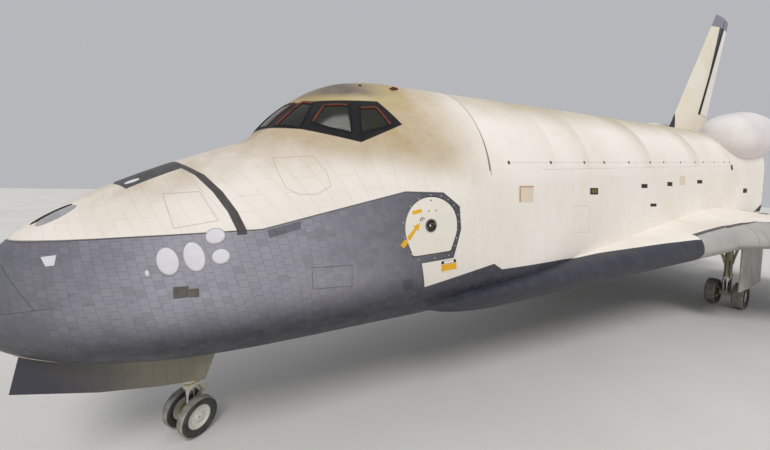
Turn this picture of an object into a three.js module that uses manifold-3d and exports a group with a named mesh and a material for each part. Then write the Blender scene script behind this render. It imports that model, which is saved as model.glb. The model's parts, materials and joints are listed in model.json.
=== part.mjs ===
import * as THREE from 'three';
import Module from 'manifold-3d';

const wasm = await Module();
wasm.setup();

// Sizes in millimetres. s runs aft from the nose tip, y to starboard and h up from the belly plane.
// The whole vehicle is then turned nose down about the lateral axis and set on the floor.
const NOSE_DOWN_DEG = 3.2;
const FLOOR_LIFT = 1643.94;
const CENTRE_X = 18140.03;

// Fuselage sections: station, belly height, height of the widest point, crown height, half width,
// exponent of the lower half, exponent of the upper half.
const FUSELAGE_ROWS = [
  [0, 1465, 1473, 1480, 8, 2.0, 2.0],
  [40, 1230, 1460, 1700, 235, 2.0, 2.0],
  [127, 1030, 1450, 1960, 430, 2.0, 2.0],
  [432, 720, 1420, 2400, 800, 2.0, 2.0],
  [889, 500, 1380, 2800, 1130, 2.05, 2.0],
  [1422, 330, 1340, 3110, 1420, 2.15, 2.0],
  [1981, 220, 1330, 3370, 1640, 2.2, 2.0],
  [2591, 140, 1330, 3620, 1830, 2.3, 2.0],
  [3530, 70, 1380, 3940, 2040, 2.4, 2.0],
  [4140, 40, 1480, 4140, 2150, 2.5, 2.0],
  [5000, 10, 1650, 4400, 2260, 2.7, 2.0],
  [6000, 0, 1900, 4650, 2400, 3.0, 2.0],
  [7200, 0, 2300, 5000, 2530, 3.6, 2.0],
  [8738, 0, 2900, 5590, 2620, 4.5, 2.0],
  [11000, 0, 2997, 5600, 2642, 8.0, 2.0],
  [27153, 0, 2997, 5600, 2642, 8.0, 2.0],
  [29185, 0, 2997, 5600, 2700, 8.0, 2.1],
  [32100, 0, 2997, 5600, 2850, 8.0, 2.3],
  [32766, 0, 2997, 5600, 2950, 8.0, 2.3],
];
// Canopy over the cabin: station, base height, crown height, half width, exponent.
const CANOPY_ROWS = [
  [4140, 3000, 4200, 1250, 2.3],
  [4597, 3000, 4640, 1400, 2.4],
  [5004, 3000, 4960, 1560, 2.4],
  [5588, 3000, 5300, 1800, 2.4],
  [6223, 3000, 5500, 2030, 2.3],
  [7137, 3000, 5590, 2300, 2.2],
  [8738, 2990, 5590, 2600, 2.05],
];
const RING_POINTS = 32;
const SKIN = 90;
const SEAT = 0.4;

const NOSE_CAP_END = 400;
const BAY_FRONT = 8738;
const BAY_REAR = 27153;
const BASE_S = 32766;
const SILL_H = 3380;
const BAY_RADIUS = 2330;
const BAY_AXIS_H = 2997;
const DOOR_THICKNESS = 70;
const DOOR_GAP = 6;
const DOOR_HINGE = { y: 2632, h: 3386 };
const DOOR_HINGE_STATIONS = [9800, 18000, 26100];

const CABIN_FRONT = 4250;
const CABIN_REAR = 8600;
const CABIN_FLOOR_H = 1450;
const FLIGHT_DECK_H = 3150;

// Cabin panes on the port side, corners on the skin as s, y, h.
const PANES = {
  front: [[4330, -110, 4400], [4440, -640, 4360], [5010, -630, 4865], [4880, -110, 4890]],
  middle: [[4560, -860, 4330], [4925, -1225, 4300], [5270, -1035, 4810], [5120, -800, 4850]],
  side: [[5160, -1310, 4400], [5430, -1515, 4290], [5785, -1705, 4180], [5860, -1440, 4750],
    [5440, -1225, 4755]],
  rear: [[5985, -1780, 4180], [6580, -1890, 4340], [6400, -1640, 4730], [6080, -1570, 4710]],
};
const PANE_GAP = 1.0;
const PANE_DEPTH = 40;

// Side hatch: a circle whose sides run on as tangents, leaning inward down to a straight foot.
// Its rim draws in toward the cabin, so that it clears the opening as it swings out and down.
const HATCH = { s: 7123, h: 2269, r: 620, gap: 8, foot: 521, lean: 22.5, draft: 1 / 30, rimY: -2600 };
const HATCH_HINGE = { h: 1736, out: 14 };

const NOSE_WELL = { s0: 670, s1: 3300, half: 560, top: 1250 };
const NOSE_GEAR = { s: 2740, h: -1418.1, tyre: 381, width: 210, offset: 265, rim: 225, axle: 42 };
// The nose wheels stand steered to port by this many degrees.
const NOSE_TURN = 30;
const NOSE_DOOR_OUTLINE = [[512, 198], [1519, -160], [2336, -367], [3046, -496], [3288, 58], [3288, 500],
  [1756, 900], [781, 1200]];
const MAIN_GEAR = { s: 23724, y: 3454, h: -2407, tyre: 565, width: 400, offset: 430, rim: 300, axle: 55 };
const MAIN_WELL = { s0: 20700, s1: 24250, y0: 2790, y1: 4270, top: 1020 };

// Wing stations: y, leading edge s, trailing edge s.
const WING_ROOT = { y: 2667, le: 8687, te: 32222 };
const WING_KINK = { y: 4394, le: 19583, te: 31916, hle: 540, hte: 150, t: 1180, up: 0.745 };
const WING_TIP = { y: 11895, le: 27085, te: 30586, hle: 760, hte: 740, t: 420, up: 0.6 };
const ROOT_UPPER = [[0, 610], [0.035, 700], [0.14, 850], [0.31, 1060], [0.463, 1260], [0.61, 1380],
  [0.735, 1250], [0.871, 620], [0.948, 330], [1, 150]];
const ROOT_LOWER = [[0, 590], [0.035, 330], [0.1, 100], [0.18, 15], [0.871, 10], [1, 100]];
// Plan outline of the grey leading edge region as s, y, and a place in it that sees every corner.
const EDGE_REGION = [[17300, 4790], [17547, 3837], [18499, 3954], [19511, 4107], [19999, 4235], [20662, 4361],
  [21335, 4556], [21491, 4836], [28245, 12135], [27291, 13092], [19088, 4889]];
const EDGE_MIDDLE = [20500, 4700];
const HINGE_S = 29185;
const HINGE_RISE = 0.0566;
const ELEVON_ENDS = [[3000, 7915], [7930, 11870]];
const ELEVON_UP = 40;
const ELEVON_DOWN = 25;
const TONGUE_ROOM = 44;

const RUDDER_LOW = { s: 31432, h: 6756 };
const RUDDER_TOP = { s: 36140, h: 13632 };

const FIN_ROOT = { h: 5560, le: 27180, te: 33200, t: 560 };
const FIN_TIP = { h: 13632, le: 34442, te: 37186, t: 230 };

const BODY_FLAP = { s: 32990, h: 235, r: 215, te: 34925, half: 3080 };
const FLAP_SWING = 23;

const rad = THREE.MathUtils.degToRad;
const cosA = Math.cos(rad(NOSE_DOWN_DEG));
const sinA = Math.sin(rad(NOSE_DOWN_DEG));

function slopeTable(xs, ys) {
  const n = xs.length;
  const d = [];
  for (let i = 0; i < n - 1; i += 1) d.push((ys[i + 1] - ys[i]) / (xs[i + 1] - xs[i]));
  const m = new Array(n).fill(0);
  m[0] = d[0];
  m[n - 1] = d[n - 2];
  for (let i = 1; i < n - 1; i += 1) {
    if (d[i - 1] * d[i] > 0) m[i] = 2 / (1 / d[i - 1] + 1 / d[i]);
  }
  return m;
}

function smoothAt(rows, column, x) {
  const xs = rows.map((r) => r[0]);
  const ys = rows.map((r) => r[column]);
  if (x <= xs[0]) return ys[0];
  if (x >= xs[xs.length - 1]) return ys[ys.length - 1];
  const m = slopeTable(xs, ys);
  let i = 0;
  while (xs[i + 1] < x) i += 1;
  const w = xs[i + 1] - xs[i];
  const t = (x - xs[i]) / w;
  const a = (1 + 2 * t) * (1 - t) * (1 - t);
  const b = t * (1 - t) * (1 - t);
  const c = t * t * (3 - 2 * t);
  const e = t * t * (t - 1);
  return a * ys[i] + b * w * m[i] + c * ys[i + 1] + e * w * m[i + 1];
}

function superRadius(a, b, n, phi) {
  const c = Math.abs(Math.cos(phi));
  const d = Math.abs(Math.sin(phi));
  return ((c / a) ** n + (d / b) ** n) ** (-1 / n);
}

function canopyRadius(s, hw, phi) {
  const hc = smoothAt(CANOPY_ROWS, 1, s);
  const ht = smoothAt(CANOPY_ROWS, 2, s);
  const w = smoothAt(CANOPY_ROWS, 3, s);
  const n = smoothAt(CANOPY_ROWS, 4, s);
  const inside = (r) => {
    const y = Math.abs(r * Math.cos(phi));
    const z = Math.max(hw + r * Math.sin(phi) - hc, 0);
    return (y / w) ** n + (z / (ht - hc)) ** n <= 1;
  };
  let best = 0;
  for (let r = 4200; r > 0; r -= 60) {
    if (inside(r)) {
      best = r;
      break;
    }
  }
  let lo = best;
  let hi = best + 60;
  for (let i = 0; i < 16; i += 1) {
    const m = (lo + hi) / 2;
    if (inside(m)) lo = m;
    else hi = m;
  }
  return lo;
}

function fuselageRing(s, inset, count = RING_POINTS) {
  const [hb, hw, ht, w, nl, nu] = [1, 2, 3, 4, 5, 6].map((c) => smoothAt(FUSELAGE_ROWS, c, s));
  const pts = [];
  for (let k = 0; k < count; k += 1) {
    const phi = (2 * Math.PI * k) / count;
    const upper = Math.sin(phi) >= 0;
    let r = upper ? superRadius(w, ht - hw, nu, phi) : superRadius(w, hw - hb, nl, phi);
    if (upper && s > CANOPY_ROWS[0][0] && s <= BAY_FRONT) r = Math.max(r, canopyRadius(s, hw, phi));
    r = Math.max(r - inset, 4);
    pts.push([s, r * Math.cos(phi), hw + r * Math.sin(phi)]);
  }
  return { pts, centre: [s, 0, hw] };
}

function skinY(s, h) {
  const [hb, hw, ht, w, nl, nu] = [1, 2, 3, 4, 5, 6].map((c) => smoothAt(FUSELAGE_ROWS, c, s));
  const t = h >= hw ? ((h - hw) / (ht - hw)) ** nu : ((hw - h) / (hw - hb)) ** nl;
  return w * Math.max(1 - t, 0) ** (1 / (h >= hw ? nu : nl));
}

function solid(verts, tris) {
  let volume = 0;
  for (const [a, b, c] of tris) {
    const [p, q, r] = [verts[a], verts[b], verts[c]];
    volume += p[0] * (q[1] * r[2] - q[2] * r[1]) - p[1] * (q[0] * r[2] - q[2] * r[0])
      + p[2] * (q[0] * r[1] - q[1] * r[0]);
  }
  const order = volume < 0 ? [0, 2, 1] : [0, 1, 2];
  const index = new Uint32Array(tris.length * 3);
  tris.forEach((t, i) => order.forEach((o, j) => {
    index[3 * i + j] = t[o];
  }));
  const vertProperties = new Float32Array(verts.flat());
  return new wasm.Manifold(new wasm.Mesh({ numProp: 3, vertProperties, triVerts: index }));
}

function loft(rings, centres, flip = () => false) {
  const n = rings[0].length;
  const verts = rings.flat();
  const tris = [];
  for (let i = 0; i < rings.length - 1; i += 1) {
    for (let j = 0; j < n; j += 1) {
      const k = (j + 1) % n;
      const [a, b, c, d] = [i * n + j, i * n + k, (i + 1) * n + k, (i + 1) * n + j];
      if (flip(j)) tris.push([a, b, d], [b, c, d]);
      else tris.push([a, b, c], [a, c, d]);
    }
  }
  const mean = (ring) => [0, 1, 2].map((c) => ring.reduce((t, p) => t + p[c], 0) / n);
  const last = (rings.length - 1) * n;
  const c0 = verts.length;
  verts.push(centres ? centres[0] : mean(rings[0]));
  verts.push(centres ? centres[1] : mean(rings[rings.length - 1]));
  for (let j = 0; j < n; j += 1) {
    const k = (j + 1) % n;
    tris.push([c0, k, j], [c0 + 1, last + j, last + k]);
  }
  return solid(verts, tris);
}

function fuselageLoft(stations, inset, count) {
  const rings = stations.map((s) => fuselageRing(s, inset, count));
  const n = rings[0].pts.length;
  const portSide = (j) => Math.cos((2 * Math.PI * (j + 0.5)) / n) < 0;
  return loft(rings.map((r) => r.pts), [rings[0].centre, rings[rings.length - 1].centre], portSide);
}

function block(s0, s1, y0, y1, h0, h1) {
  const ring = (s) => [[s, y0, h0], [s, y1, h0], [s, y1, h1], [s, y0, h1]];
  return loft([ring(s0), ring(s1)]);
}

function prismY(outline, y0, y1) {
  return loft([outline.map(([s, h]) => [s, y0, h]), outline.map(([s, h]) => [s, y1, h])]);
}

function basis(a) {
  const dir = new THREE.Vector3(...a).normalize();
  const ref = Math.abs(dir.z) < 0.9 ? new THREE.Vector3(0, 0, 1) : new THREE.Vector3(1, 0, 0);
  const u = new THREE.Vector3().crossVectors(ref, dir).normalize();
  const v = new THREE.Vector3().crossVectors(dir, u);
  return { dir, u, v };
}

// Closed solid turned from a profile of (distance along the axis, radius) pairs, capped at both ends.
function turned(origin, axis, profile, count = 24, spin = 0) {
  const { dir, u, v } = basis(axis);
  const rings = profile.map(([a, r]) => {
    const ring = [];
    for (let k = 0; k < count; k += 1) {
      const t = (2 * Math.PI * k) / count + spin;
      const p = new THREE.Vector3(...origin).addScaledVector(dir, a);
      p.addScaledVector(u, r * Math.cos(t)).addScaledVector(v, r * Math.sin(t));
      ring.push([p.x, p.y, p.z]);
    }
    return ring;
  });
  const at = (a) => {
    const p = new THREE.Vector3(...origin).addScaledVector(dir, a);
    return [p.x, p.y, p.z];
  };
  return loft(rings, [at(profile[0][0]), at(profile[profile.length - 1][0])]);
}

function rod(p, q, r0, r1 = r0, count = 16) {
  const axis = [q[0] - p[0], q[1] - p[1], q[2] - p[2]];
  return turned(p, axis, [[0, r0], [Math.hypot(...axis), r1]], count);
}

// Ring shaped solid turned from a closed profile of (distance along the axis, radius) pairs.
function turnedRing(origin, axis, profile, count = 32, spin = 0) {
  const { dir, u, v } = basis(axis);
  const n = profile.length;
  const verts = [];
  const tris = [];
  for (let k = 0; k < count; k += 1) {
    const t = (2 * Math.PI * k) / count + spin;
    for (const [a, r] of profile) {
      const p = new THREE.Vector3(...origin).addScaledVector(dir, a);
      p.addScaledVector(u, r * Math.cos(t)).addScaledVector(v, r * Math.sin(t));
      verts.push([p.x, p.y, p.z]);
    }
  }
  for (let k = 0; k < count; k += 1) {
    const l = (k + 1) % count;
    for (let j = 0; j < n; j += 1) {
      const m = (j + 1) % n;
      tris.push([k * n + j, k * n + m, l * n + m], [k * n + j, l * n + m, l * n + j]);
    }
  }
  return solid(verts, tris);
}

function mirrorY(body) {
  return body.mirror([0, 1, 0]);
}

function union(list) {
  return list.reduce((a, b) => a.add(b));
}

// Prism through a flat-ish polygon of skin points, reaching out and in along its mean normal.
function skinPrism(corners, grow, reachOut, reachIn) {
  const pts = corners.map((c) => new THREE.Vector3(...c));
  const centre = pts.reduce((t, p) => t.add(p), new THREE.Vector3()).divideScalar(pts.length);
  const normal = new THREE.Vector3();
  pts.forEach((p, i) => {
    const q = pts[(i + 1) % pts.length];
    normal.add(new THREE.Vector3().crossVectors(p.clone().sub(centre), q.clone().sub(centre)));
  });
  normal.normalize();
  if (normal.dot(new THREE.Vector3(-1500, centre.y, 1500)) < 0) normal.negate();
  const grown = pts.map((p) => {
    const d = p.clone().sub(centre);
    d.addScaledVector(normal, -d.dot(normal));
    return centre.clone().add(d).addScaledVector(d.clone().normalize(), grow);
  });
  const ring = (k) => grown.map((p) => {
    const q = p.clone().addScaledVector(normal, k);
    return [q.x, q.y, q.z];
  });
  return loft([ring(reachOut), ring(-reachIn)]);
}

// A faceted bore whose flats stay clear of a pin of the given radius at any turn.
const PIN_SIDES = 14;
const EYE_SIDES = 8;
function boreRadius(pin, sides) {
  return (pin + 0.45) / Math.cos(Math.PI / sides);
}

// Hinge made of one tongue with an eye, a clearance slot, and a pin bridging the slot.
function hingeParts(p, axis, toward, size) {
  const a = new THREE.Vector3(...axis).normalize();
  const d = new THREE.Vector3(...toward);
  d.addScaledVector(a, -d.dot(a)).normalize();
  const e = new THREE.Vector3().crossVectors(a, d);
  const at = (i, j, k) => {
    const q = new THREE.Vector3(...p).addScaledVector(a, i).addScaledVector(d, j).addScaledVector(e, k);
    return [q.x, q.y, q.z];
  };
  const bar = (half, j0, j1, k0, k1) => loft([
    [at(-half, j0, k0), at(-half, j1, k0), at(-half, j1, k1), at(-half, j0, k1)],
    [at(half, j0, k0), at(half, j1, k0), at(half, j1, k1), at(half, j0, k1)],
  ]);
  const half = size.width / 2;
  const eye = rod(at(-half, 0, 0), at(half, 0, 0), size.eye, size.eye, EYE_SIDES);
  const boreR = boreRadius(size.pin, PIN_SIDES);
  const bore = rod(at(-half - 5, 0, 0), at(half + 5, 0, 0), boreR, boreR, PIN_SIDES);
  const tongue = eye.add(bar(half, 0, size.reach, -size.thick / 2, size.thick / 2)).subtract(bore);
  const wide = half + size.side;
  const roomR = (size.eye + size.side) / Math.cos(Math.PI / EYE_SIDES);
  const clearing = rod(at(-wide, 0, 0), at(wide, 0, 0), roomR, roomR, EYE_SIDES);
  const sweep = [];
  const far = size.reach + 400;
  const fan = size.fan.map((t) => [Math.cos(rad(t)) * far, Math.sin(rad(t)) * far]);
  const mouth = [[0, 0], ...fan];
  if (size.fan.length) {
    const ring = (i) => mouth.map(([j, k]) => at(i, j, k));
    const mid = [Math.cos(rad((size.fan[0] + size.fan[size.fan.length - 1]) / 2)) * 50,
      Math.sin(rad((size.fan[0] + size.fan[size.fan.length - 1]) / 2)) * 50];
    sweep.push(loft([ring(-wide), ring(wide)], [at(-wide, ...mid), at(wide, ...mid)]));
  }
  const slot = union([clearing, ...sweep]);
  const pin = rod(at(-wide - 8, 0, 0), at(wide + 8, 0, 0), size.pin, size.pin, PIN_SIDES);
  return { tongue, slot, pin };
}

const parts = {};
function put(name, body, material) {
  parts[name] = { body, material };
}

// Fuselage, nose to base
const noseStations = [0, 30, 127, 250, 432, 889, 1422, 1981, 2591, 3530, 4140,
  4400, 4700, 5004, 5290, 5588, 5900, 6223, 6680, 7137, 7900, BAY_FRONT - 0.5];
const noseFull = fuselageLoft(noseStations, 0);
const capZone = block(-50, NOSE_CAP_END, -3000, 3000, -500, 7000);
const afterCap = block(NOSE_CAP_END + SEAT, 9000, -3500, 3500, -500, 7000);
put('nose_cap', noseFull.intersect(capZone), 'cap');

const moduleOutline = [[NOSE_CAP_END - 60, 2513], [3690, 2513], [2790, 3700], [2790, 4600],
  [NOSE_CAP_END - 60, 4600]];
const moduleGap = moduleOutline.map(([s, h]) => [s + (s > 2000 ? SEAT : -5), h === 2513 ? h - SEAT : h]);
const moduleSolid = prismY(moduleOutline, -3000, 3000);
put('forward_rcs_module', noseFull.intersect(afterCap).intersect(moduleSolid), 'white');

const cabinStations = [CABIN_FRONT, 4700, 5004, 5588, 6223, 7137, CABIN_REAR];
const cabinVoid = fuselageLoft(cabinStations, SKIN, 36)
  .intersect(block(CABIN_FRONT - 10, CABIN_REAR + 10, -3500, 3500, CABIN_FLOOR_H, 7000));
const noseWell = block(NOSE_WELL.s0, NOSE_WELL.s1, -NOSE_WELL.half, NOSE_WELL.half, -400, NOSE_WELL.top);

function hatchOutline(grow) {
  const r = HATCH.r + grow;
  const foot = HATCH.foot + grow;
  const lean = rad(HATCH.lean);
  const half = (r - foot * Math.sin(lean)) / Math.cos(lean);
  const pts = [[HATCH.s - half, HATCH.h - foot], [HATCH.s + half, HATCH.h - foot]];
  for (let k = 0; k <= 18; k += 1) {
    const t = -lean + ((Math.PI + 2 * lean) * k) / 18;
    pts.push([HATCH.s + r * Math.cos(t), HATCH.h + r * Math.sin(t)]);
  }
  return pts;
}
const hatchHole = prismY(hatchOutline(HATCH.gap), -3400, -1200);
let forward = noseFull.intersect(afterCap).subtract(prismY(moduleGap, -3000, 3000)).subtract(cabinVoid)
  .subtract(noseWell).subtract(hatchHole);

const outerSkin = fuselageLoft(noseStations.filter((s) => s >= 4140), 8);
const innerSkin = fuselageLoft(noseStations.filter((s) => s >= 4140), 8 + PANE_DEPTH);
for (const [name, corners] of Object.entries(PANES)) {
  const hole = skinPrism(corners, 0, 300, 420);
  const pane = outerSkin.subtract(innerSkin).intersect(skinPrism(corners, -PANE_GAP, 290, 300));
  forward = forward.subtract(hole).subtract(mirrorY(hole));
  put(`window_${name}_port`, pane, 'glass');
  put(`window_${name}_starboard`, mirrorY(pane), 'glass');
}

const hatchStations = noseStations.filter((s) => s > 6000 && s < 8000);
const hatchOuter = fuselageLoft(hatchStations, 0);
const hatchInner = fuselageLoft(hatchStations, SKIN - 10);
const plugRing = (y) => hatchOutline(-(y - HATCH.rimY) * HATCH.draft).map(([s, h]) => [s, y, h]);
let hatch = hatchOuter.subtract(hatchInner).intersect(loft([plugRing(-2900), plugRing(-2000)]));
const hatchHingeY = -skinY(HATCH.s + 190, HATCH_HINGE.h) - HATCH_HINGE.out;
for (const ds of [-190, 190]) {
  const p = [HATCH.s + ds, hatchHingeY, HATCH_HINGE.h];
  const size = { width: 50, eye: 26, pin: 12, thick: 30, reach: 90, side: 6, fan: [] };
  const hinge = hingeParts(p, [1, 0, 0], [0, 0, 1], size);
  const { pin } = hinge;
  const tongue = hinge.tongue.add(block(p[0] - 25, p[0] + 25, p[1] - 15, p[1] + 110, p[2] + 44, p[2] + 88));
  const lug = block(p[0] - 65, p[0] + 65, p[1] - 34, p[1] + 120, p[2] - 120, p[2] + 6);
  const lugClear = block(p[0] - 72, p[0] + 72, p[1] - 40, p[1] + 160, p[2] - 130, p[2] + 13);
  const recess = block(p[0] - 32, p[0] + 32, p[1] - 60, p[1] + 40, p[2] - 34, p[2] + 60);
  hatch = hatch.subtract(lugClear).add(tongue);
  forward = forward.add(lug.subtract(recess)).subtract(recess).add(pin);
}
put('side_hatch', hatch, 'white');
put('forward_fuselage', forward, 'white');

const innerRoom = fuselageLoft(cabinStations, SKIN + 0.5, 36);
const deck = innerRoom.intersect(block(4900, 8560, -3000, 3000, FLIGHT_DECK_H - 60, FLIGHT_DECK_H));
put('flight_deck_floor', deck, 'interior');
const panelOutline = [[4960, FLIGHT_DECK_H + SEAT], [5160, FLIGHT_DECK_H + SEAT], [5480, 4060], [5400, 4200],
  [5180, 4200], [4960, 3900]];
const panelRoom = fuselageLoft(cabinStations, SKIN + 60, 36);
put('instrument_panel', prismY(panelOutline, -1180, 1180).intersect(panelRoom), 'dark');
const seatOutline = [[5950, FLIGHT_DECK_H + SEAT], [6500, FLIGHT_DECK_H + SEAT], [6520, 3560], [6720, 4560],
  [6600, 4590], [6420, 3760], [5950, 3700]];
const seatPort = loft([seatOutline.map(([s, h]) => [s, -880, h]), seatOutline.map(([s, h]) => [s, -400, h])],
  [[6460, -880, 3660], [6460, -400, 3660]]);
put('seat_port', seatPort, 'interior');
put('seat_starboard', mirrorY(seatPort), 'interior');

// Mid fuselage trough and payload doors
const midStations = [BAY_FRONT, 9700, 11000, BAY_REAR];
const midFull = fuselageLoft(midStations, 0);
const bayRound = [];
for (let k = 0; k <= 18; k += 1) {
  const t = Math.PI + (Math.PI * k) / 18;
  bayRound.push([BAY_RADIUS * Math.cos(t), BAY_AXIS_H + BAY_RADIUS * Math.sin(t)]);
}
bayRound.push([BAY_RADIUS, 7000], [-BAY_RADIUS, 7000]);
const bayRing = (s) => bayRound.map(([y, h]) => [s, y, h]);
const bayVoid = loft([bayRing(BAY_FRONT - 20), bayRing(BAY_REAR + 20)]);
const belowSill = block(BAY_FRONT - 20, BAY_REAR + 20, -4000, 4000, -500, SILL_H);
let mid = midFull.intersect(belowSill).subtract(bayVoid);
const doorOuter = midFull;
const doorInner = fuselageLoft([BAY_FRONT - 20, ...midStations.slice(1, -1), BAY_REAR + 20], DOOR_THICKNESS);
let door = doorOuter.subtract(doorInner)
  .intersect(block(BAY_FRONT + DOOR_GAP, BAY_REAR - DOOR_GAP, -4000, -4, SILL_H + 8, 7000));
for (const s of DOOR_HINGE_STATIONS) {
  const p = [s, -DOOR_HINGE.y, DOOR_HINGE.h];
  const size = { width: 70, eye: 30, pin: 14, thick: 34, reach: 110, side: 6, fan: [] };
  const { tongue, pin } = hingeParts(p, [1, 0, 0], [0, 0.36, 1], size);
  const knuckle = rod([s - 85, -DOOR_HINGE.y, DOOR_HINGE.h], [s + 85, -DOOR_HINGE.y, DOOR_HINGE.h], 18, 18,
    PIN_SIDES);
  const lugBlock = block(s - 85, s + 85, -DOOR_HINGE.y, -DOOR_HINGE.y + 140, SILL_H - 120, SILL_H + 12);
  const lug = lugBlock.add(knuckle);
  const recess = block(s - 42, s + 42, -DOOR_HINGE.y - 60, -DOOR_HINGE.y + 60, SILL_H - 36, SILL_H + 60);
  const lugClear = block(s - 92, s + 92, -DOOR_HINGE.y - 80, -DOOR_HINGE.y + 150, SILL_H - 20, SILL_H + 19);
  door = door.subtract(lugClear).add(tongue);
  const both = lug.add(mirrorY(lug));
  mid = mid.add(both).subtract(recess).subtract(mirrorY(recess)).add(pin).add(mirrorY(pin));
}
put('payload_door_port', door, 'white');
put('payload_door_starboard', mirrorY(door), 'white');
put('mid_fuselage', mid, 'white');

// Wings
function tableAt(table, x) {
  return smoothAt(table, 1, x);
}
const FRACTIONS = [0, 0.01, 0.035, 0.09, 0.18, 0.31, 0.463, 0.61, 0.735, 0.871, 1];
function bump(x) {
  const v = 0.2969 * Math.sqrt(x) - 0.126 * x - 0.3516 * x * x + 0.2843 * x ** 3 - 0.1015 * x ** 4;
  return Math.max(v, 0) / 0.1;
}
function wingSection(y) {
  const upper = [];
  const lower = [];
  const root = (f) => [tableAt(ROOT_UPPER, f), tableAt(ROOT_LOWER, f)];
  const foil = (w, f) => {
    const line = w.hle + (w.hte - w.hle) * f;
    const g = Math.max(bump(f) * w.t, 8 + 4 * f);
    return [line + g * w.up, line - g * (1 - w.up)];
  };
  const mix = (a, b, t) => a + (b - a) * t;
  let le;
  let te;
  let pair;
  if (y <= WING_KINK.y) {
    const t = (y - WING_ROOT.y) / (WING_KINK.y - WING_ROOT.y);
    le = mix(WING_ROOT.le, WING_KINK.le, t);
    te = mix(WING_ROOT.te, WING_KINK.te, t);
    pair = (f) => {
      const [a, b] = [root(f), foil(WING_KINK, f)];
      return [mix(a[0], b[0], t), mix(a[1], b[1], t)];
    };
  } else {
    const t = (y - WING_KINK.y) / (WING_TIP.y - WING_KINK.y);
    le = mix(WING_KINK.le, WING_TIP.le, t);
    te = mix(WING_KINK.te, WING_TIP.te, t);
    pair = (f) => {
      const [a, b] = [foil(WING_KINK, f), foil(WING_TIP, f)];
      return [mix(a[0], b[0], t), mix(a[1], b[1], t)];
    };
  }
  for (const f of FRACTIONS) {
    const [u, l] = pair(f);
    upper.push([mix(le, te, f), y, u + 3]);
    lower.push([mix(le, te, f), y, l - 3]);
  }
  return [...upper, ...lower.reverse()];
}
const wingStations = [2380, WING_KINK.y, WING_TIP.y];
const wingFull = loft(wingStations.map((y) => wingSection(y)));

function hingeHeight(y) {
  return 262 + HINGE_RISE * (y - 3000);
}
function hingeRadius(y) {
  return y < 4394 ? 262 - (y - 3000) * 0.0215 : 232 - (y - 4394) * 0.0118;
}
function elevonCutter() {
  const ring = (y) => {
    const c = [HINGE_S, hingeHeight(y)];
    const q = hingeRadius(y) + 8;
    const front = -0.72 * q;
    const rise = Math.sqrt(q * q - front * front);
    const pts = [[5000, -3000], [front, -3000]];
    const a0 = Math.atan2(-rise, front);
    const a1 = Math.atan2(rise, front) - 2 * Math.PI;
    for (let k = 0; k <= 8; k += 1) {
      const t = a0 + ((a1 - a0) * k) / 8;
      pts.push([q * Math.cos(t), q * Math.sin(t)]);
    }
    pts.push([front, 3000], [5000, 3000]);
    return pts.map(([a, b]) => [c[0] + a, y, c[1] + b]);
  };
  const ys = [2300, 4394, 12100];
  const centre = (y) => [HINGE_S, y, hingeHeight(y)];
  return loft(ys.map((y) => ring(y)), [centre(ys[0]), centre(ys[2])]);
}
const bodyStations = [6223, 6680, 7137, 7900, BAY_FRONT, 9700, 11000, BAY_REAR, HINGE_S, 32100, BASE_S];
const bodyKeepOut = fuselageLoft(bodyStations, -SEAT);
let wing = wingFull.subtract(elevonCutter()).subtract(bodyKeepOut);
wing = wing.subtract(block(MAIN_WELL.s0, MAIN_WELL.s1, MAIN_WELL.y0, MAIN_WELL.y1, -300, MAIN_WELL.top));

function elevonBody(y0, y1) {
  const ring = (y) => {
    const q = hingeRadius(y);
    const c = [HINGE_S, hingeHeight(y)];
    const t = (y - WING_KINK.y) / (WING_TIP.y - WING_KINK.y);
    const te = WING_KINK.te + (WING_TIP.te - WING_KINK.te) * t;
    const hte = WING_KINK.hte + (WING_TIP.hte - WING_KINK.hte) * t;
    const lean = Math.atan2(hte - c[1], te - c[0]);
    const open = Math.acos(q / Math.hypot(te - c[0], hte - c[1]));
    const pts = [];
    for (let k = 0; k <= 9; k += 1) {
      const u = lean + open + ((2 * Math.PI - 2 * open) * k) / 9;
      pts.push([c[0] + q * Math.cos(u), y, c[1] + q * Math.sin(u)]);
    }
    pts.push([te, y, hte - 9], [te, y, hte + 9]);
    return pts.map(([a, b, h]) => [a, b - HINGE_RISE * (h - c[1]), h]);
  };
  const ys = y0 < 4394 ? [y0, 4394, y1] : [y0, y1];
  return loft(ys.map((y) => ring(y)));
}
const elevonAxis = [0, 1, HINGE_RISE];
ELEVON_ENDS.forEach(([y0, y1], i) => {
  let elevon = elevonBody(y0, y1);
  for (const f of [0.2, 0.8]) {
    const y = y0 + (y1 - y0) * f;
    const q = hingeRadius(y);
    const p = [HINGE_S, y, hingeHeight(y)];
    const size = { width: 60, eye: q * 0.42, pin: 15, thick: q * 0.5, reach: q + 60, side: 7, fan: [] };
    size.fan = [-ELEVON_DOWN - TONGUE_ROOM, 0, ELEVON_UP + TONGUE_ROOM];
    const { tongue, slot, pin } = hingeParts(p, elevonAxis, [-1, 0, 0], size);
    elevon = elevon.subtract(slot).add(pin);
    wing = wing.add(tongue);
  }
  const place = i === 0 ? 'inboard' : 'outboard';
  put(`elevon_${place}_starboard`, elevon, 'dark_white');
  put(`elevon_${place}_port`, mirrorY(elevon), 'dark_white');
});

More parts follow.
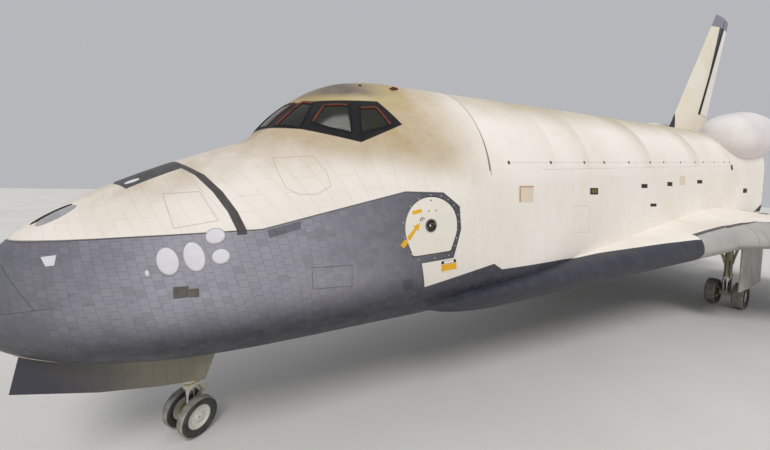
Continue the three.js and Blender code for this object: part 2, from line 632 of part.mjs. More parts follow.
// Outline moved outward by a small distance, each corner along the mean of its two edge normals.
function grownOutline(outline, grow) {
  const n = outline.length;
  const normal = (p, q) => new THREE.Vector2(q[1] - p[1], p[0] - q[0]).normalize();
  return outline.map((p, i) => {
    const a = normal(outline[(i + n - 1) % n], p);
    const b = normal(p, outline[(i + 1) % n]);
    const m = a.clone().add(b).normalize();
    const k = grow / m.dot(a);
    return [p[0] + m.x * k, p[1] + m.y * k];
  });
}
function leadingStrip(grow) {
  const outline = grownOutline(EDGE_REGION, grow);
  const ring = (h) => outline.map(([s, y]) => [s, y, h]);
  return loft([ring(-500), ring(2500)], [[...EDGE_MIDDLE, -500], [...EDGE_MIDDLE, 2500]]);
}
const strip = wing.intersect(leadingStrip(0));
wing = wing.subtract(leadingStrip(SEAT));
put('leading_edge_starboard', strip, 'edge');
put('leading_edge_port', mirrorY(strip), 'edge');

// Aft fuselage with pods, base nozzles and body flap
let aft = fuselageLoft([BAY_REAR + 0.5, HINGE_S, 32100, BASE_S], 0);
// Pod sections: station, centre y, centre h, half width, half height.
const POD_ROWS = [
  [27260, 1900, 5060, 40, 40],
  [27330, 1900, 5050, 240, 230],
  [27600, 1905, 5030, 520, 520],
  [28200, 1930, 5010, 830, 860],
  [29300, 1970, 5020, 1110, 1190],
  [31000, 2000, 5050, 1290, 1430],
  [32500, 2000, 5060, 1280, 1430],
  [33300, 2020, 5090, 1150, 1290],
  [33560, 2030, 5100, 1050, 1180],
];
function podRing([s, yc, hc, a, b]) {
  const ring = [];
  for (let k = 0; k < 22; k += 1) {
    const t = (2 * Math.PI * k) / 22;
    const r = superRadius(a, b, 2.3, t);
    ring.push([s, yc + r * Math.cos(t), hc + r * Math.sin(t)]);
  }
  return ring;
}
const aftKeepOut = fuselageLoft([BAY_REAR - 100, BAY_REAR, HINGE_S, 32100, BASE_S + 0.5], -SEAT);
const finKeepOut = block(26000, 34500, -520, 520, 5000, 9000);
const pod = loft(POD_ROWS.map((r) => podRing(r))).subtract(aftKeepOut).subtract(finKeepOut);

function bell(origin, axis, front, exitR, length, wall) {
  const profile = [
    [-front, exitR * 0.5], [0, exitR * 0.62], [length * 0.2, exitR * 0.75], [length * 0.45, exitR * 0.88],
    [length * 0.72, exitR * 0.965], [length, exitR], [length, exitR - wall],
    [length * 0.72, exitR * 0.965 - wall],
    [length * 0.45, exitR * 0.88 - wall], [length * 0.2, exitR * 0.72 - wall], [length * 0.08, exitR * 0.3],
  ];
  return turned(origin, axis, profile, 20);
}
const OMS_NOZZLE = { s: 33450, y: 2235, h: 5300, up: 15.8, out: 6.5, r: 555, length: 900 };
const omsAxis = [1, Math.tan(rad(OMS_NOZZLE.out)), Math.tan(rad(OMS_NOZZLE.up))];
const podRear = block(32000, 33560 + SEAT, -500, 5000, 3000, 8000);
const omsThroat = [OMS_NOZZLE.s + 60, OMS_NOZZLE.y, OMS_NOZZLE.h];
const omsNozzle = bell(omsThroat, omsAxis, 300, OMS_NOZZLE.r, OMS_NOZZLE.length, 22).subtract(podRear);
put('oms_pod_starboard', pod, 'pod');
put('oms_pod_port', mirrorY(pod), 'pod');
put('oms_nozzle_starboard', omsNozzle, 'nozzle');
put('oms_nozzle_port', mirrorY(omsNozzle), 'nozzle');

// Main nozzles: name, centre y and h at the base, tilt up and tilt out in degrees.
const MAIN_NOZZLES = [
  ['main_nozzle_upper', 0, 4360, 16, 0],
  ['main_nozzle_port', -1440, 1790, 10, -3.5],
  ['main_nozzle_starboard', 1440, 1790, 10, 3.5],
];
const baseFace = block(30000, BASE_S + SEAT, -6000, 6000, -2000, 8000);
for (const [name, y, h, up, out] of MAIN_NOZZLES) {
  const axis = [1, Math.tan(rad(out)), Math.tan(rad(up))];
  put(name, bell([BASE_S + 40, y, h], axis, 500, 1150, 1880, 34).subtract(baseFace), 'nozzle');
}

const flapOutline = (r) => {
  const c = [BODY_FLAP.s, BODY_FLAP.h];
  const te = [BODY_FLAP.te, 200];
  const lean = Math.atan2(te[1] - c[1], te[0] - c[0]);
  const open = Math.acos(r / Math.hypot(te[0] - c[0], te[1] - c[1]));
  const pts = [];
  for (let k = 0; k <= 9; k += 1) {
    const u = lean + open + ((2 * Math.PI - 2 * open) * k) / 9;
    pts.push([c[0] + r * Math.cos(u), c[1] + r * Math.sin(u)]);
  }
  pts.push([te[0], te[1] - 12], [te[0], te[1] + 12]);
  return pts;
};
let flap = prismY(flapOutline(BODY_FLAP.r), -BODY_FLAP.half, BODY_FLAP.half);
for (const y of [-1900, 0, 1900]) {
  const size = { width: 90, eye: 85, pin: 15, thick: 110, reach: 260, side: 8, fan: [] };
  size.fan = [-FLAP_SWING - TONGUE_ROOM, 0, FLAP_SWING + TONGUE_ROOM];
  const { tongue, slot, pin } = hingeParts([BODY_FLAP.s, y, BODY_FLAP.h], [0, 1, 0], [-1, 0, 0], size);
  flap = flap.subtract(slot).add(pin);
  aft = aft.add(tongue);
}
put('body_flap', flap, 'tile');

// Fin, rudder post and the two speed brake panels
const finFractions = [0, 0.015, 0.06, 0.15, 0.3, 0.45, 0.6, 0.8, 1];
function finSection(h) {
  const t = (h - FIN_ROOT.h) / (FIN_TIP.h - FIN_ROOT.h);
  const le = FIN_ROOT.le + (FIN_TIP.le - FIN_ROOT.le) * t;
  const te = FIN_ROOT.te + (FIN_TIP.te - FIN_ROOT.te) * t;
  const th = FIN_ROOT.t + (FIN_TIP.t - FIN_ROOT.t) * t;
  const half = (f) => {
    if (f < 0.45) return Math.max(Math.sin((Math.PI / 2) * Math.min(f / 0.45, 1)) ** 0.75 * th / 2, 6);
    return (th / 2) * (1 - ((f - 0.45) / 0.55) ** 1.6) + 12 * ((f - 0.45) / 0.55);
  };
  const right = finFractions.map((f) => [le + (te - le) * f, half(f), h]);
  const left = finFractions.map((f) => [le + (te - le) * f, -half(f), h]).reverse();
  return [...right, ...left];
}
const finFull = loft([FIN_ROOT.h, 7000, 9500, 12000, FIN_TIP.h].map((h) => finSection(h)));
const rudderDir = new THREE.Vector3(RUDDER_TOP.s - RUDDER_LOW.s, 0, RUDDER_TOP.h - RUDDER_LOW.h).normalize();
const rudderLen = Math.hypot(RUDDER_TOP.s - RUDDER_LOW.s, RUDDER_TOP.h - RUDDER_LOW.h);
const rudderAft = new THREE.Vector3(rudderDir.z, 0, -rudderDir.x);
const RUDDER_HALF = [205, 92];
function rudderAt(a, n, y) {
  const h = RUDDER_LOW.h + rudderDir.z * a + rudderAft.z * n;
  return [RUDDER_LOW.s + rudderDir.x * a + rudderAft.x * n, y, h];
}
const rudderHalf = (a) => RUDDER_HALF[0] + (RUDDER_HALF[1] - RUDDER_HALF[0]) * (a / rudderLen);
// The panels' lower front corners dip as the rudder turns about its raked axis.
const PANEL_DIP = 58;
const lowLine = RUDDER_LOW.h - PANEL_DIP;
const finBack = (a) => -(rudderHalf(a) + 30);
const backLow = (lowLine - RUDDER_LOW.h + rudderDir.x * finBack(0)) / rudderDir.z;
const cutStart = rudderAt(backLow, finBack(0), 0);
const cutEnd = rudderAt(rudderLen + 900, finBack(rudderLen), 0);
const cutOutline = [[cutStart[0], cutStart[2]], [cutEnd[0], cutEnd[2]], [42000, 15500], [42000, lowLine]];
let fin = finFull.subtract(prismY(cutOutline, -900, 900)).subtract(aftKeepOut);

const postTop = rudderLen - 60;
const neck = 22;
const NECK_SIDES = 18;
const FIN_EYES = [420, rudderLen * 0.5, rudderLen * 0.93];
const PANEL_EYES = [900, rudderLen * 0.8];
const EYE_THICK = 50;
const EYE_GAP = 6;
const postProfile = [];
const grooves = [
  ...FIN_EYES.map((a) => [a - EYE_THICK / 2 - EYE_GAP, a + EYE_THICK / 2 + EYE_GAP]),
  ...PANEL_EYES.map((a) => [a - EYE_THICK - 1.5 * EYE_GAP, a + EYE_THICK + 1.5 * EYE_GAP]),
].sort((p, q) => p[0] - q[0]);
const postRadius = (a) => rudderHalf(a) - 26;
postProfile.push([150, postRadius(150)]);
for (const [a, b] of grooves) {
  postProfile.push([a, postRadius(a)], [a, neck], [b, neck], [b, postRadius(b)]);
}
postProfile.push([postTop, postRadius(postTop)]);
const post = turned(rudderAt(0, 0, 0), [rudderDir.x, 0, rudderDir.z], postProfile, NECK_SIDES);
put('rudder_post', post, 'dark');

function rudderBar(a0, a1, n0, n1, y0, y1) {
  const ring = (a) => [rudderAt(a, n0, y0), rudderAt(a, n1, y0), rudderAt(a, n1, y1), rudderAt(a, n0, y1)];
  return loft([ring(a0), ring(a1)]);
}
function eyeRing(a, radius) {
  return rod(rudderAt(a - EYE_THICK / 2, 0, 0), rudderAt(a + EYE_THICK / 2, 0, 0), radius, radius, 12);
}
function eyeBore(a) {
  const r = boreRadius(neck, NECK_SIDES);
  return rod(rudderAt(a - EYE_THICK, 0, 0), rudderAt(a + EYE_THICK, 0, 0), r, r, NECK_SIDES);
}
for (const a of FIN_EYES) {
  const arm = rudderBar(a - EYE_THICK / 2, a + EYE_THICK / 2, -rudderHalf(a) - 140, -20, -42, 42);
  fin = fin.add(eyeRing(a, 52).add(arm).subtract(eyeBore(a)));
}
put('fin', fin, 'white');

function panelBody(side) {
  const chordAt = (h) => {
    const t = (h - FIN_ROOT.h) / (FIN_TIP.h - FIN_ROOT.h);
    return FIN_ROOT.te + (FIN_TIP.te - FIN_ROOT.te) * t;
  };
  const front = (a) => postRadius(a) + 8;
  const topH = FIN_TIP.h - 10;
  const ring = (h) => {
    const a0 = (h - RUDDER_LOW.h) / rudderDir.z;
    const reach = (n) => {
      const a = a0 + (n * rudderDir.x) / rudderDir.z;
      return rudderAt(a, n, 0);
    };
    const n0 = front(Math.min(Math.max(a0, 0), rudderLen));
    const p0 = reach(n0);
    const te = chordAt(h);
    const half0 = rudderHalf(Math.min(Math.max(a0, 0), rudderLen));
    return [[p0[0], side * 4, h], [te, side * 4, h], [te, side * 14, h], [p0[0], side * half0, h]];
  };
  return loft([ring(RUDDER_LOW.h), ring(topH)]);
}
for (const [name, side] of [['port', -1], ['starboard', 1]]) {
  let panel = panelBody(side);
  for (const a of PANEL_EYES) {
    const centre = a + side * (EYE_THICK / 2 + EYE_GAP / 2);
    const arm = rudderBar(centre - EYE_THICK / 2, centre + EYE_THICK / 2, 0, postRadius(a) + 90,
      side > 0 ? 6 : -60, side > 0 ? 60 : -6);
    const ring = eyeRing(centre, 52).add(arm).subtract(eyeBore(centre));
    panel = panel.add(ring);
  }
  put(`speed_brake_${name}`, panel, 'white');
}

put('aft_fuselage', aft, 'white');

// Landing gear
const TYRE_SIDES = 22;
const STEER_SIDES = 20;
// Turn about the given axle that brings the first point of a ring straight down to the floor.
function downTurn(axis) {
  const { u, v } = basis(axis);
  return Math.atan2(-cosA * v.z - sinA * v.x, -cosA * u.z - sinA * u.x);
}
const along = (p, axis, k) => p.map((c, i) => c + axis[i] * k);
// Wheels, axles and struts are placed from the axle centre, the axle direction and the strut direction.
function tyre(g, centre, axis) {
  const w = g.width / 2;
  const radius = g.tyre;
  const shoulder = g.rim + (radius - g.rim) * 0.6;
  const profile = [
    [-w * 0.62, g.rim + SEAT], [w * 0.62, g.rim + SEAT], [w, shoulder], [w * 0.7, radius * 0.98],
    [w * 0.3, radius], [-w * 0.3, radius], [-w * 0.7, radius * 0.98], [-w, shoulder],
  ];
  return turnedRing(centre, axis, profile, TYRE_SIDES, downTurn(axis));
}
function hubPair(g, centre, axis) {
  const w = g.width / 2;
  const side = (k) => {
    const c = k * g.offset;
    const out = c + k * w * 0.66;
    const inn = c - k * w * 0.66;
    const dish = out - k * w * 0.35;
    const profile = [[inn, g.rim], [out, g.rim], [out, g.rim - 26], [dish, g.rim - 40],
      [dish, g.axle * 1.7], [out + k * 12, g.axle * 1.5]];
    if (k < 0) profile.reverse();
    return turned(centre, axis, profile, TYRE_SIDES, downTurn(axis));
  };
  const axle = turned(centre, axis, [[-g.offset, g.axle], [g.offset, g.axle]], 28);
  return union([side(-1), side(1), axle]);
}
function strutWithBore(g, centre, axis, up, pistonR, length, sides) {
  const piston = rod(along(centre, up, g.axle), along(centre, up, length), pistonR, pistonR, sides);
  const half = g.offset - g.width * 0.33 - 40;
  const knuckle = rod(along(centre, axis, -half), along(centre, axis, half), g.axle * 1.7, g.axle * 1.7, 14);
  const boreR = boreRadius(g.axle, 28);
  const bore = rod(along(centre, axis, -half - 5), along(centre, axis, half + 5), boreR, boreR, 28);
  return piston.add(knuckle).subtract(bore);
}

// The nose strut stands plumb, so the axle stays level at every steering angle.
const plumb = [sinA, 0, cosA];
const turn = rad(NOSE_TURN);
const noseAxle = [-Math.sin(turn) * cosA, Math.cos(turn), Math.sin(turn) * sinA];
const noseCentre = [NOSE_GEAR.s, 0, NOSE_GEAR.h];
const noseAt = (h) => along(noseCentre, plumb, (h - NOSE_GEAR.h) / cosA);
const NOSE_CASE = { foot: -770, top: 900, r: 125, piston: 85, pistonTop: -420 };
const noseStrut = strutWithBore(NOSE_GEAR, noseCentre, noseAxle, plumb, NOSE_CASE.piston,
  (NOSE_CASE.pistonTop - NOSE_GEAR.h) / cosA, STEER_SIDES);
put('nose_gear_strut', noseStrut, 'chrome');
put('nose_wheel_hub', hubPair(NOSE_GEAR, noseCentre, noseAxle), 'hub');
put('nose_tyre_port', tyre(NOSE_GEAR, along(noseCentre, noseAxle, -NOSE_GEAR.offset), noseAxle), 'tyre');
put('nose_tyre_starboard', tyre(NOSE_GEAR, along(noseCentre, noseAxle, NOSE_GEAR.offset), noseAxle), 'tyre');
const noseCase = rod(noseAt(NOSE_CASE.foot), noseAt(NOSE_CASE.top), NOSE_CASE.r, NOSE_CASE.r, 16);
const noseWall = NOSE_WELL.half - SEAT;
const noseTrunnionS = noseAt(780)[0];
const noseTrunnion = rod([noseTrunnionS, -noseWall, 780], [noseTrunnionS, noseWall, 780], 85, 85, 14);
const noseDrag = rod(noseAt(-160), [1750, 0, 900], 58, 58, 16);
const noseCross = rod([1750, -noseWall, 900], [1750, noseWall, 900], 62, 62, 12);
const steerBoreR = boreRadius(NOSE_CASE.piston, STEER_SIDES);
// The piston's head turns just under the end of its bore.
const noseBore = rod(noseAt(-1000), noseAt(NOSE_CASE.pistonTop + SEAT), steerBoreR, steerBoreR, STEER_SIDES);
put('nose_gear_leg', union([noseCase, noseTrunnion, noseDrag, noseCross]).subtract(noseBore), 'gear');

const noseSkin = fuselageLoft(noseStations.filter((s) => s < 4500), -SEAT);
const doorY = -NOSE_WELL.half - 10;
const noseDoor = prismY(NOSE_DOOR_OUTLINE, doorY - 40, doorY).subtract(noseSkin);
put('nose_gear_door_port', noseDoor, 'door');
put('nose_gear_door_starboard', mirrorY(noseDoor), 'door');

const G = MAIN_GEAR;
const mainCentre = [G.s, G.y, G.h];
const mainAxle = [0, 1, 0];
const mainStrut = strutWithBore(G, mainCentre, mainAxle, [0, 0, 1], 88, -1250 - G.h, 16);
const mainCase = rod([G.s, G.y, -1650], [G.s, G.y, 760], 150, 165, 16);
const wallIn = MAIN_WELL.y0 + SEAT;
const wallOut = MAIN_WELL.y1 - SEAT;
const mainTrunnion = rod([G.s, wallIn, 620], [G.s, wallOut, 620], 120, 120, 14);
const mainBrace = rod([G.s, G.y, -900], [G.s - 1900, G.y, 700], 70, 70, 16);
const mainCross = rod([G.s - 1900, wallIn, 700], [G.s - 1900, wallOut, 700], 80, 80, 12);
const mainBore = rod([G.s, G.y, -1800], [G.s, G.y, -1240], 88 + SEAT, 88 + SEAT, 16);
const mainLeg = union([mainCase, mainTrunnion, mainBrace, mainCross]).subtract(mainBore);
put('main_gear_leg_starboard', mainLeg, 'gear');
put('main_gear_leg_port', mirrorY(mainLeg), 'gear');
put('main_gear_strut_starboard', mainStrut, 'chrome');
put('main_gear_strut_port', mirrorY(mainStrut), 'chrome');
const mainHub = hubPair(G, mainCentre, mainAxle);
put('main_wheel_hub_starboard', mainHub, 'hub');
put('main_wheel_hub_port', mirrorY(mainHub), 'hub');
for (const [place, k] of [['inner', -1], ['outer', 1]]) {
  const t = tyre(G, along(mainCentre, mainAxle, k * G.offset), mainAxle);
  put(`main_tyre_${place}_starboard`, t, 'tyre');
  put(`main_tyre_${place}_port`, mirrorY(t), 'tyre');
}
const DOOR_OUTLINE = [[20760, 900], [24180, 900], [24180, -1700], [22150, -1600], [20760, -1460]];
const mainDoorY = MAIN_WELL.y1 + 30;
const thickened = ([s, y, h], i) => [s, y, i < FRACTIONS.length ? h + SEAT : h - SEAT];
const wingKeepOut = loft(wingStations.map((y) => wingSection(y).map(thickened)));
const mainDoor = prismY(DOOR_OUTLINE, mainDoorY, mainDoorY + 50).subtract(wingKeepOut)
  .intersect(block(20000, 25000, 4000, 5000, -3000, 400));
put('main_gear_door_starboard', mainDoor, 'door');
put('main_gear_door_port', mirrorY(mainDoor), 'door');
put('wing_starboard', wing, 'white');
put('wing_port', mirrorY(wing), 'white');

const MATERIALS = {
  white: { color: 0xe6e2d8, roughness: 0.6, metalness: 0 },
  dark_white: { color: 0xd8d5cc, roughness: 0.6, metalness: 0 },
  cap: { color: 0x3a3c44, roughness: 0.6, metalness: 0 },
  tile: { color: 0x3f414b, roughness: 0.75, metalness: 0 },
  edge: { color: 0x8f9095, roughness: 0.6, metalness: 0 },
  pod: { color: 0xc9c4c8, roughness: 0.6, metalness: 0 },
  glass: { color: 0x1b1f24, roughness: 0.08, metalness: 0 },
  interior: { color: 0x6f7275, roughness: 0.8, metalness: 0 },
  dark: { color: 0x26282c, roughness: 0.6, metalness: 0 },
  nozzle: { color: 0x55504c, roughness: 0.45, metalness: 0.8 },
  gear: { color: 0xd9d6cc, roughness: 0.45, metalness: 0 },
  chrome: { color: 0xc8c9cc, roughness: 0.15, metalness: 1 },
  hub: { color: 0xdad9d3, roughness: 0.4, metalness: 0 },
  tyre: { color: 0x8b8a86, roughness: 0.85, metalness: 0 },
  door: { color: 0xb9b6ae, roughness: 0.6, metalness: 0 },
};
const finish = {};
for (const [name, m] of Object.entries(MATERIALS)) {
  finish[name] = new THREE.MeshStandardMaterial({ name, ...m });
}

function toMesh(name, { body, material }) {
  const data = body.getMesh();
  const n = data.vertProperties.length / data.numProp;
  const position = new Float32Array(n * 3);
  for (let i = 0; i < n; i += 1) {
    const s = data.vertProperties[i * data.numProp];
    const y = data.vertProperties[i * data.numProp + 1];
    const h = data.vertProperties[i * data.numProp + 2];
    position[3 * i] = s * cosA - h * sinA - CENTRE_X;
    position[3 * i + 1] = y;
    position[3 * i + 2] = s * sinA + h * cosA + FLOOR_LIFT;
  }
  const geometry = new THREE.BufferGeometry();
  geometry.setAttribute('position', new THREE.BufferAttribute(position, 3));
  geometry.setIndex(new THREE.BufferAttribute(new Uint32Array(data.triVerts), 1));
  geometry.computeVertexNormals();
  const mesh = new THREE.Mesh(geometry, finish[material]);
  mesh.name = name;
  return mesh;
}

const orbiter = new THREE.Group();
orbiter.name = 'orbiter';
for (const [name, part] of Object.entries(parts)) orbiter.add(toMesh(name, part));

export default orbiter;
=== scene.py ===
import json
import math
from functools import reduce

import bpy
import numpy as np
from bpy.props import FloatProperty, FloatVectorProperty, IntProperty, PointerProperty
from mathutils import Matrix, Vector

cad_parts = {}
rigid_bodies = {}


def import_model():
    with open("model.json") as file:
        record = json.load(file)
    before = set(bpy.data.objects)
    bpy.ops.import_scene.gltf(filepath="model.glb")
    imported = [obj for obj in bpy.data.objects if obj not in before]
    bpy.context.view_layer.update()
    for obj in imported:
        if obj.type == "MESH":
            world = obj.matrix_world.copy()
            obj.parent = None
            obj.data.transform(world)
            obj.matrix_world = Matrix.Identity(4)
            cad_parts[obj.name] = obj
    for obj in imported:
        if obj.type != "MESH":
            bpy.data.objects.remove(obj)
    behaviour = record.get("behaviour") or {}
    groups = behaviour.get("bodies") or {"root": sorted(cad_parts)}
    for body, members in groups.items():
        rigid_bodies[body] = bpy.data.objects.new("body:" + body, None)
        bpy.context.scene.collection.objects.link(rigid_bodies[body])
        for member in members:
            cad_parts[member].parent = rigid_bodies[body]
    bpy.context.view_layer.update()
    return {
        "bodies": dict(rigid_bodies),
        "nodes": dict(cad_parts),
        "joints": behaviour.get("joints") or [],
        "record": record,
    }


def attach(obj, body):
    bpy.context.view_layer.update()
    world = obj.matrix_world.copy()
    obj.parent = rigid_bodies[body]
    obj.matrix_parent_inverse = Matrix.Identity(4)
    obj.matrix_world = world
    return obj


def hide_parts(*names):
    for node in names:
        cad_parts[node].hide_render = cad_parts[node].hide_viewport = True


bl_info = {
    "name": "Orbiter Finish",
    "version": (1, 0, 0),
    "blender": (4, 5, 0),
    "location": "View3D > Sidebar > Orbiter",
    "description": "Skins, finishes and small hardware of a winged spaceplane orbiter on its gear",
    "category": "Object",
}

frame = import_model()

# Body frame, in metres: s runs aft from the nose tip, y to starboard and h up from the belly plane.
# The body frame sits nose down on the floor of the row frame.
NOSE_DOWN = math.radians(3.2)
FLOOR_LIFT = 1.64394
CENTRE_X = 18.14003
COS_DOWN = math.cos(NOSE_DOWN)
SIN_DOWN = math.sin(NOSE_DOWN)
PORT = -1
STARBOARD = 1
BOTH = (PORT, STARBOARD)
SIDES = (("port", PORT), ("starboard", STARBOARD))

# Fuselage sections: station, belly height, height of the widest point, crown height, half width,
# exponent of the lower half, exponent of the upper half.
FUSELAGE_ROWS = [
    (0.000, 1.465, 1.473, 1.480, 0.008, 2.0, 2.0),
    (0.040, 1.230, 1.460, 1.700, 0.235, 2.0, 2.0),
    (0.127, 1.030, 1.450, 1.960, 0.430, 2.0, 2.0),
    (0.432, 0.720, 1.420, 2.400, 0.800, 2.0, 2.0),
    (0.889, 0.500, 1.380, 2.800, 1.130, 2.05, 2.0),
    (1.422, 0.330, 1.340, 3.110, 1.420, 2.15, 2.0),
    (1.981, 0.220, 1.330, 3.370, 1.640, 2.2, 2.0),
    (2.591, 0.140, 1.330, 3.620, 1.830, 2.3, 2.0),
    (3.530, 0.070, 1.380, 3.940, 2.040, 2.4, 2.0),
    (4.140, 0.040, 1.480, 4.140, 2.150, 2.5, 2.0),
    (5.000, 0.010, 1.650, 4.400, 2.260, 2.7, 2.0),
    (6.000, 0.000, 1.900, 4.650, 2.400, 3.0, 2.0),
    (7.200, 0.000, 2.300, 5.000, 2.530, 3.6, 2.0),
    (8.738, 0.000, 2.900, 5.590, 2.620, 4.5, 2.0),
    (11.000, 0.000, 2.997, 5.600, 2.642, 8.0, 2.0),
    (27.153, 0.000, 2.997, 5.600, 2.642, 8.0, 2.0),
    (29.185, 0.000, 2.997, 5.600, 2.700, 8.0, 2.1),
    (32.100, 0.000, 2.997, 5.600, 2.850, 8.0, 2.3),
    (32.766, 0.000, 2.997, 5.600, 2.950, 8.0, 2.3),
]
# Canopy over the cabin: station, base height, crown height, half width, exponent.
CANOPY_ROWS = [
    (3.700, 3.000, 3.300, 0.900, 2.3),
    (4.140, 3.000, 4.110, 1.230, 2.3),
    (4.597, 3.000, 4.640, 1.400, 2.4),
    (5.004, 3.000, 4.960, 1.560, 2.4),
    (5.588, 3.000, 5.300, 1.800, 2.4),
    (6.223, 3.000, 5.500, 2.030, 2.3),
    (7.137, 3.000, 5.590, 2.300, 2.2),
    (8.738, 2.990, 5.590, 2.600, 2.05),
]
CREASE_POWER = 46.0
CREASE_FADE = (7.2, 8.6)

NOSE_CAP_END = 0.4
BAY_FRONT = 8.738
BAY_REAR = 27.153
BASE_S = 32.766
SILL_H = 3.380
HINGE_LINE_H = 3.560
BAY_RADIUS = 2.330
BAY_AXIS_H = 2.997
SKIN = 0.09
SUNK = 0.006
SHARP_ANGLE = math.radians(35)
CABIN_FRONT = 4.25
CABIN_REAR = 8.60
CABIN_FLOOR_H = 1.45
RIM_LINE_H = 2.513

PANES = {
    "front": [(4.330, -0.110, 4.400), (4.440, -0.640, 4.360), (5.010, -0.630, 4.865), (4.880, -0.110, 4.890)],
    "middle": [(4.560, -0.860, 4.330), (4.925, -1.225, 4.300), (5.270, -1.035, 4.810), (5.120, -0.800, 4.850)],
    "side": [(5.160, -1.310, 4.400), (5.430, -1.515, 4.290), (5.785, -1.705, 4.180), (5.860, -1.440, 4.750),
             (5.440, -1.225, 4.755)],
    "rear": [(5.985, -1.780, 4.180), (6.580, -1.890, 4.340), (6.400, -1.640, 4.730), (6.080, -1.570, 4.710)],
}
HATCH_S = 7.123
HATCH_H = 2.269
HATCH_R = 0.620
HATCH_FOOT = 0.521
HATCH_LEAN = math.radians(22.5)
NOSE_WELL = {"s0": 0.67, "s1": 3.30, "half": 0.56, "top": 1.25}
NOSE_GEAR = {"s": 2.740, "y": 0.0, "h": -1.4181, "tyre": 0.381, "width": 0.21, "offset": 0.265, "rim": 0.225,
             "axle": 0.042}
NOSE_TURN = math.radians(30)
NOSE_DOOR = [(0.512, 0.198), (1.519, -0.160), (2.336, -0.367), (3.046, -0.496), (3.288, 0.058), (3.288, 0.500),
             (1.756, 0.900), (0.781, 1.200)]
MAIN_DOOR = [(20.76, 0.90), (24.18, 0.90), (24.18, -1.70), (22.15, -1.60), (20.76, -1.46)]
MAIN_GEAR = {"s": 23.724, "y": 3.454, "h": -2.407, "tyre": 0.565, "width": 0.40, "offset": 0.43, "rim": 0.30,
             "axle": 0.055}
MAIN_WELL = {"s0": 20.70, "s1": 24.25, "y0": 2.79, "y1": 4.27, "top": 1.02}

# Wing: leading and trailing edge stations, edge heights and thickness at the kink and at the tip.
WING_ROOT = {"y": 2.667, "le": 8.687, "te": 32.222}
WING_KINK = {"y": 4.394, "le": 19.583, "te": 31.916, "hle": 0.540, "hte": 0.150, "t": 1.18, "up": 0.745}
WING_TIP = {"y": 11.895, "le": 27.085, "te": 30.586, "hle": 0.760, "hte": 0.740, "t": 0.42, "up": 0.6}
ROOT_UPPER = [(0, 0.610), (0.035, 0.700), (0.14, 0.850), (0.31, 1.060), (0.463, 1.260), (0.61, 1.380),
              (0.735, 1.250), (0.871, 0.620), (0.948, 0.330), (1, 0.150)]
ROOT_LOWER = [(0, 0.590), (0.035, 0.330), (0.1, 0.100), (0.18, 0.015), (0.871, 0.010), (1, 0.100)]
# Plan outline of the grey leading edge region as s, y; its inner side runs from the second place to the ninth.
EDGE_REGION = [(17.300, 4.790), (17.547, 3.837), (18.499, 3.954), (19.511, 4.107), (19.999, 4.235), (20.662, 4.361),
               (21.335, 4.556), (21.491, 4.836), (28.245, 12.135), (27.291, 13.092), (19.088, 4.889)]
# Cuts between its segments on the strake, as an inner place and a place beyond the edge.
EDGE_CUTS = [((18.499, 3.954), (18.36, 4.60)), ((19.511, 4.107), (19.20, 4.90)), ((20.662, 4.361), (19.60, 5.20)),
             ((21.335, 4.556), (20.10, 5.70))]
HINGE_S = 29.185
HINGE_RISE = 0.0566
ELEVON_ENDS = {"inboard": (3.000, 7.915), "outboard": (7.930, 11.870)}

RUDDER_LOW = (31.432, 6.756)
RUDDER_TOP = (36.140, 13.632)
FIN_ROOT = {"h": 5.56, "le": 27.18, "te": 33.20, "t": 0.56}
FIN_TIP = {"h": 13.632, "le": 34.442, "te": 37.186, "t": 0.23}
BODY_FLAP = {"s": 32.99, "h": 0.235, "r": 0.215, "te": 34.925, "half": 3.08}

# Pod sections: station, centre y, centre h, half width, half height.
POD_ROWS = [
    (27.26, 1.900, 4.960, 0.040, 0.040),
    (27.30, 1.900, 4.950, 0.300, 0.330),
    (27.60, 1.905, 4.930, 0.690, 0.780),
    (28.20, 1.930, 4.930, 0.960, 1.090),
    (29.30, 1.970, 4.960, 1.160, 1.330),
    (31.00, 2.000, 5.050, 1.290, 1.430),
    (32.50, 2.000, 5.060, 1.280, 1.430),
    (33.30, 2.020, 5.090, 1.150, 1.290),
    (33.56, 2.030, 5.100, 1.050, 1.180),
]
POD_POWER = 2.3
# Main nozzles: node, y and h at the base, tilt up and tilt out in degrees.
MAIN_NOZZLES = [
    ("main_nozzle_upper", 0.0, 4.36, 16.0, 0.0),
    ("main_nozzle_port", -1.44, 1.79, 10.0, -3.5),
    ("main_nozzle_starboard", 1.44, 1.79, 10.0, 3.5),
]
MAIN_BELL = {"s": 32.806, "length": 1.88, "throat": 0.470, "mouth": 1.116}
OMS_NOZZLE = {"s": 33.51, "y": 2.235, "h": 5.30, "up": 15.8, "out": 6.5, "r": 0.555, "length": 0.90}

# Camera of the reference view, in the row frame.
CAMERA_PLACE = (-15.309, -7.313, 5.170)
CAMERA_YAW = 0.5450
CAMERA_PITCH = -0.06059
CAMERA_ROLL = 0.02515
IMAGE_WIDTH = 770
IMAGE_HEIGHT = 450
FOCAL_PIXELS = 315.79
PRINCIPAL_X = 379.58
PRINCIPAL_Y = 202.44
SENSOR_MM = 36.0


def turn_row(vectors):
    """Body frame directions as row frame directions."""
    v = np.asarray(vectors, float)
    s, y, h = v[..., 0], v[..., 1], v[..., 2]
    return np.stack([s * COS_DOWN - h * SIN_DOWN, y, s * SIN_DOWN + h * COS_DOWN], -1)


def to_row(points):
    """Body frame points as row frame points."""
    return turn_row(points) + np.array([-CENTRE_X, 0, FLOOR_LIFT])


def to_body(points):
    """Row frame points as body frame points."""
    x, z = points[:, 0] + CENTRE_X, points[:, 2] - FLOOR_LIFT
    return np.stack([x * COS_DOWN + z * SIN_DOWN, points[:, 1], z * COS_DOWN - x * SIN_DOWN], -1)


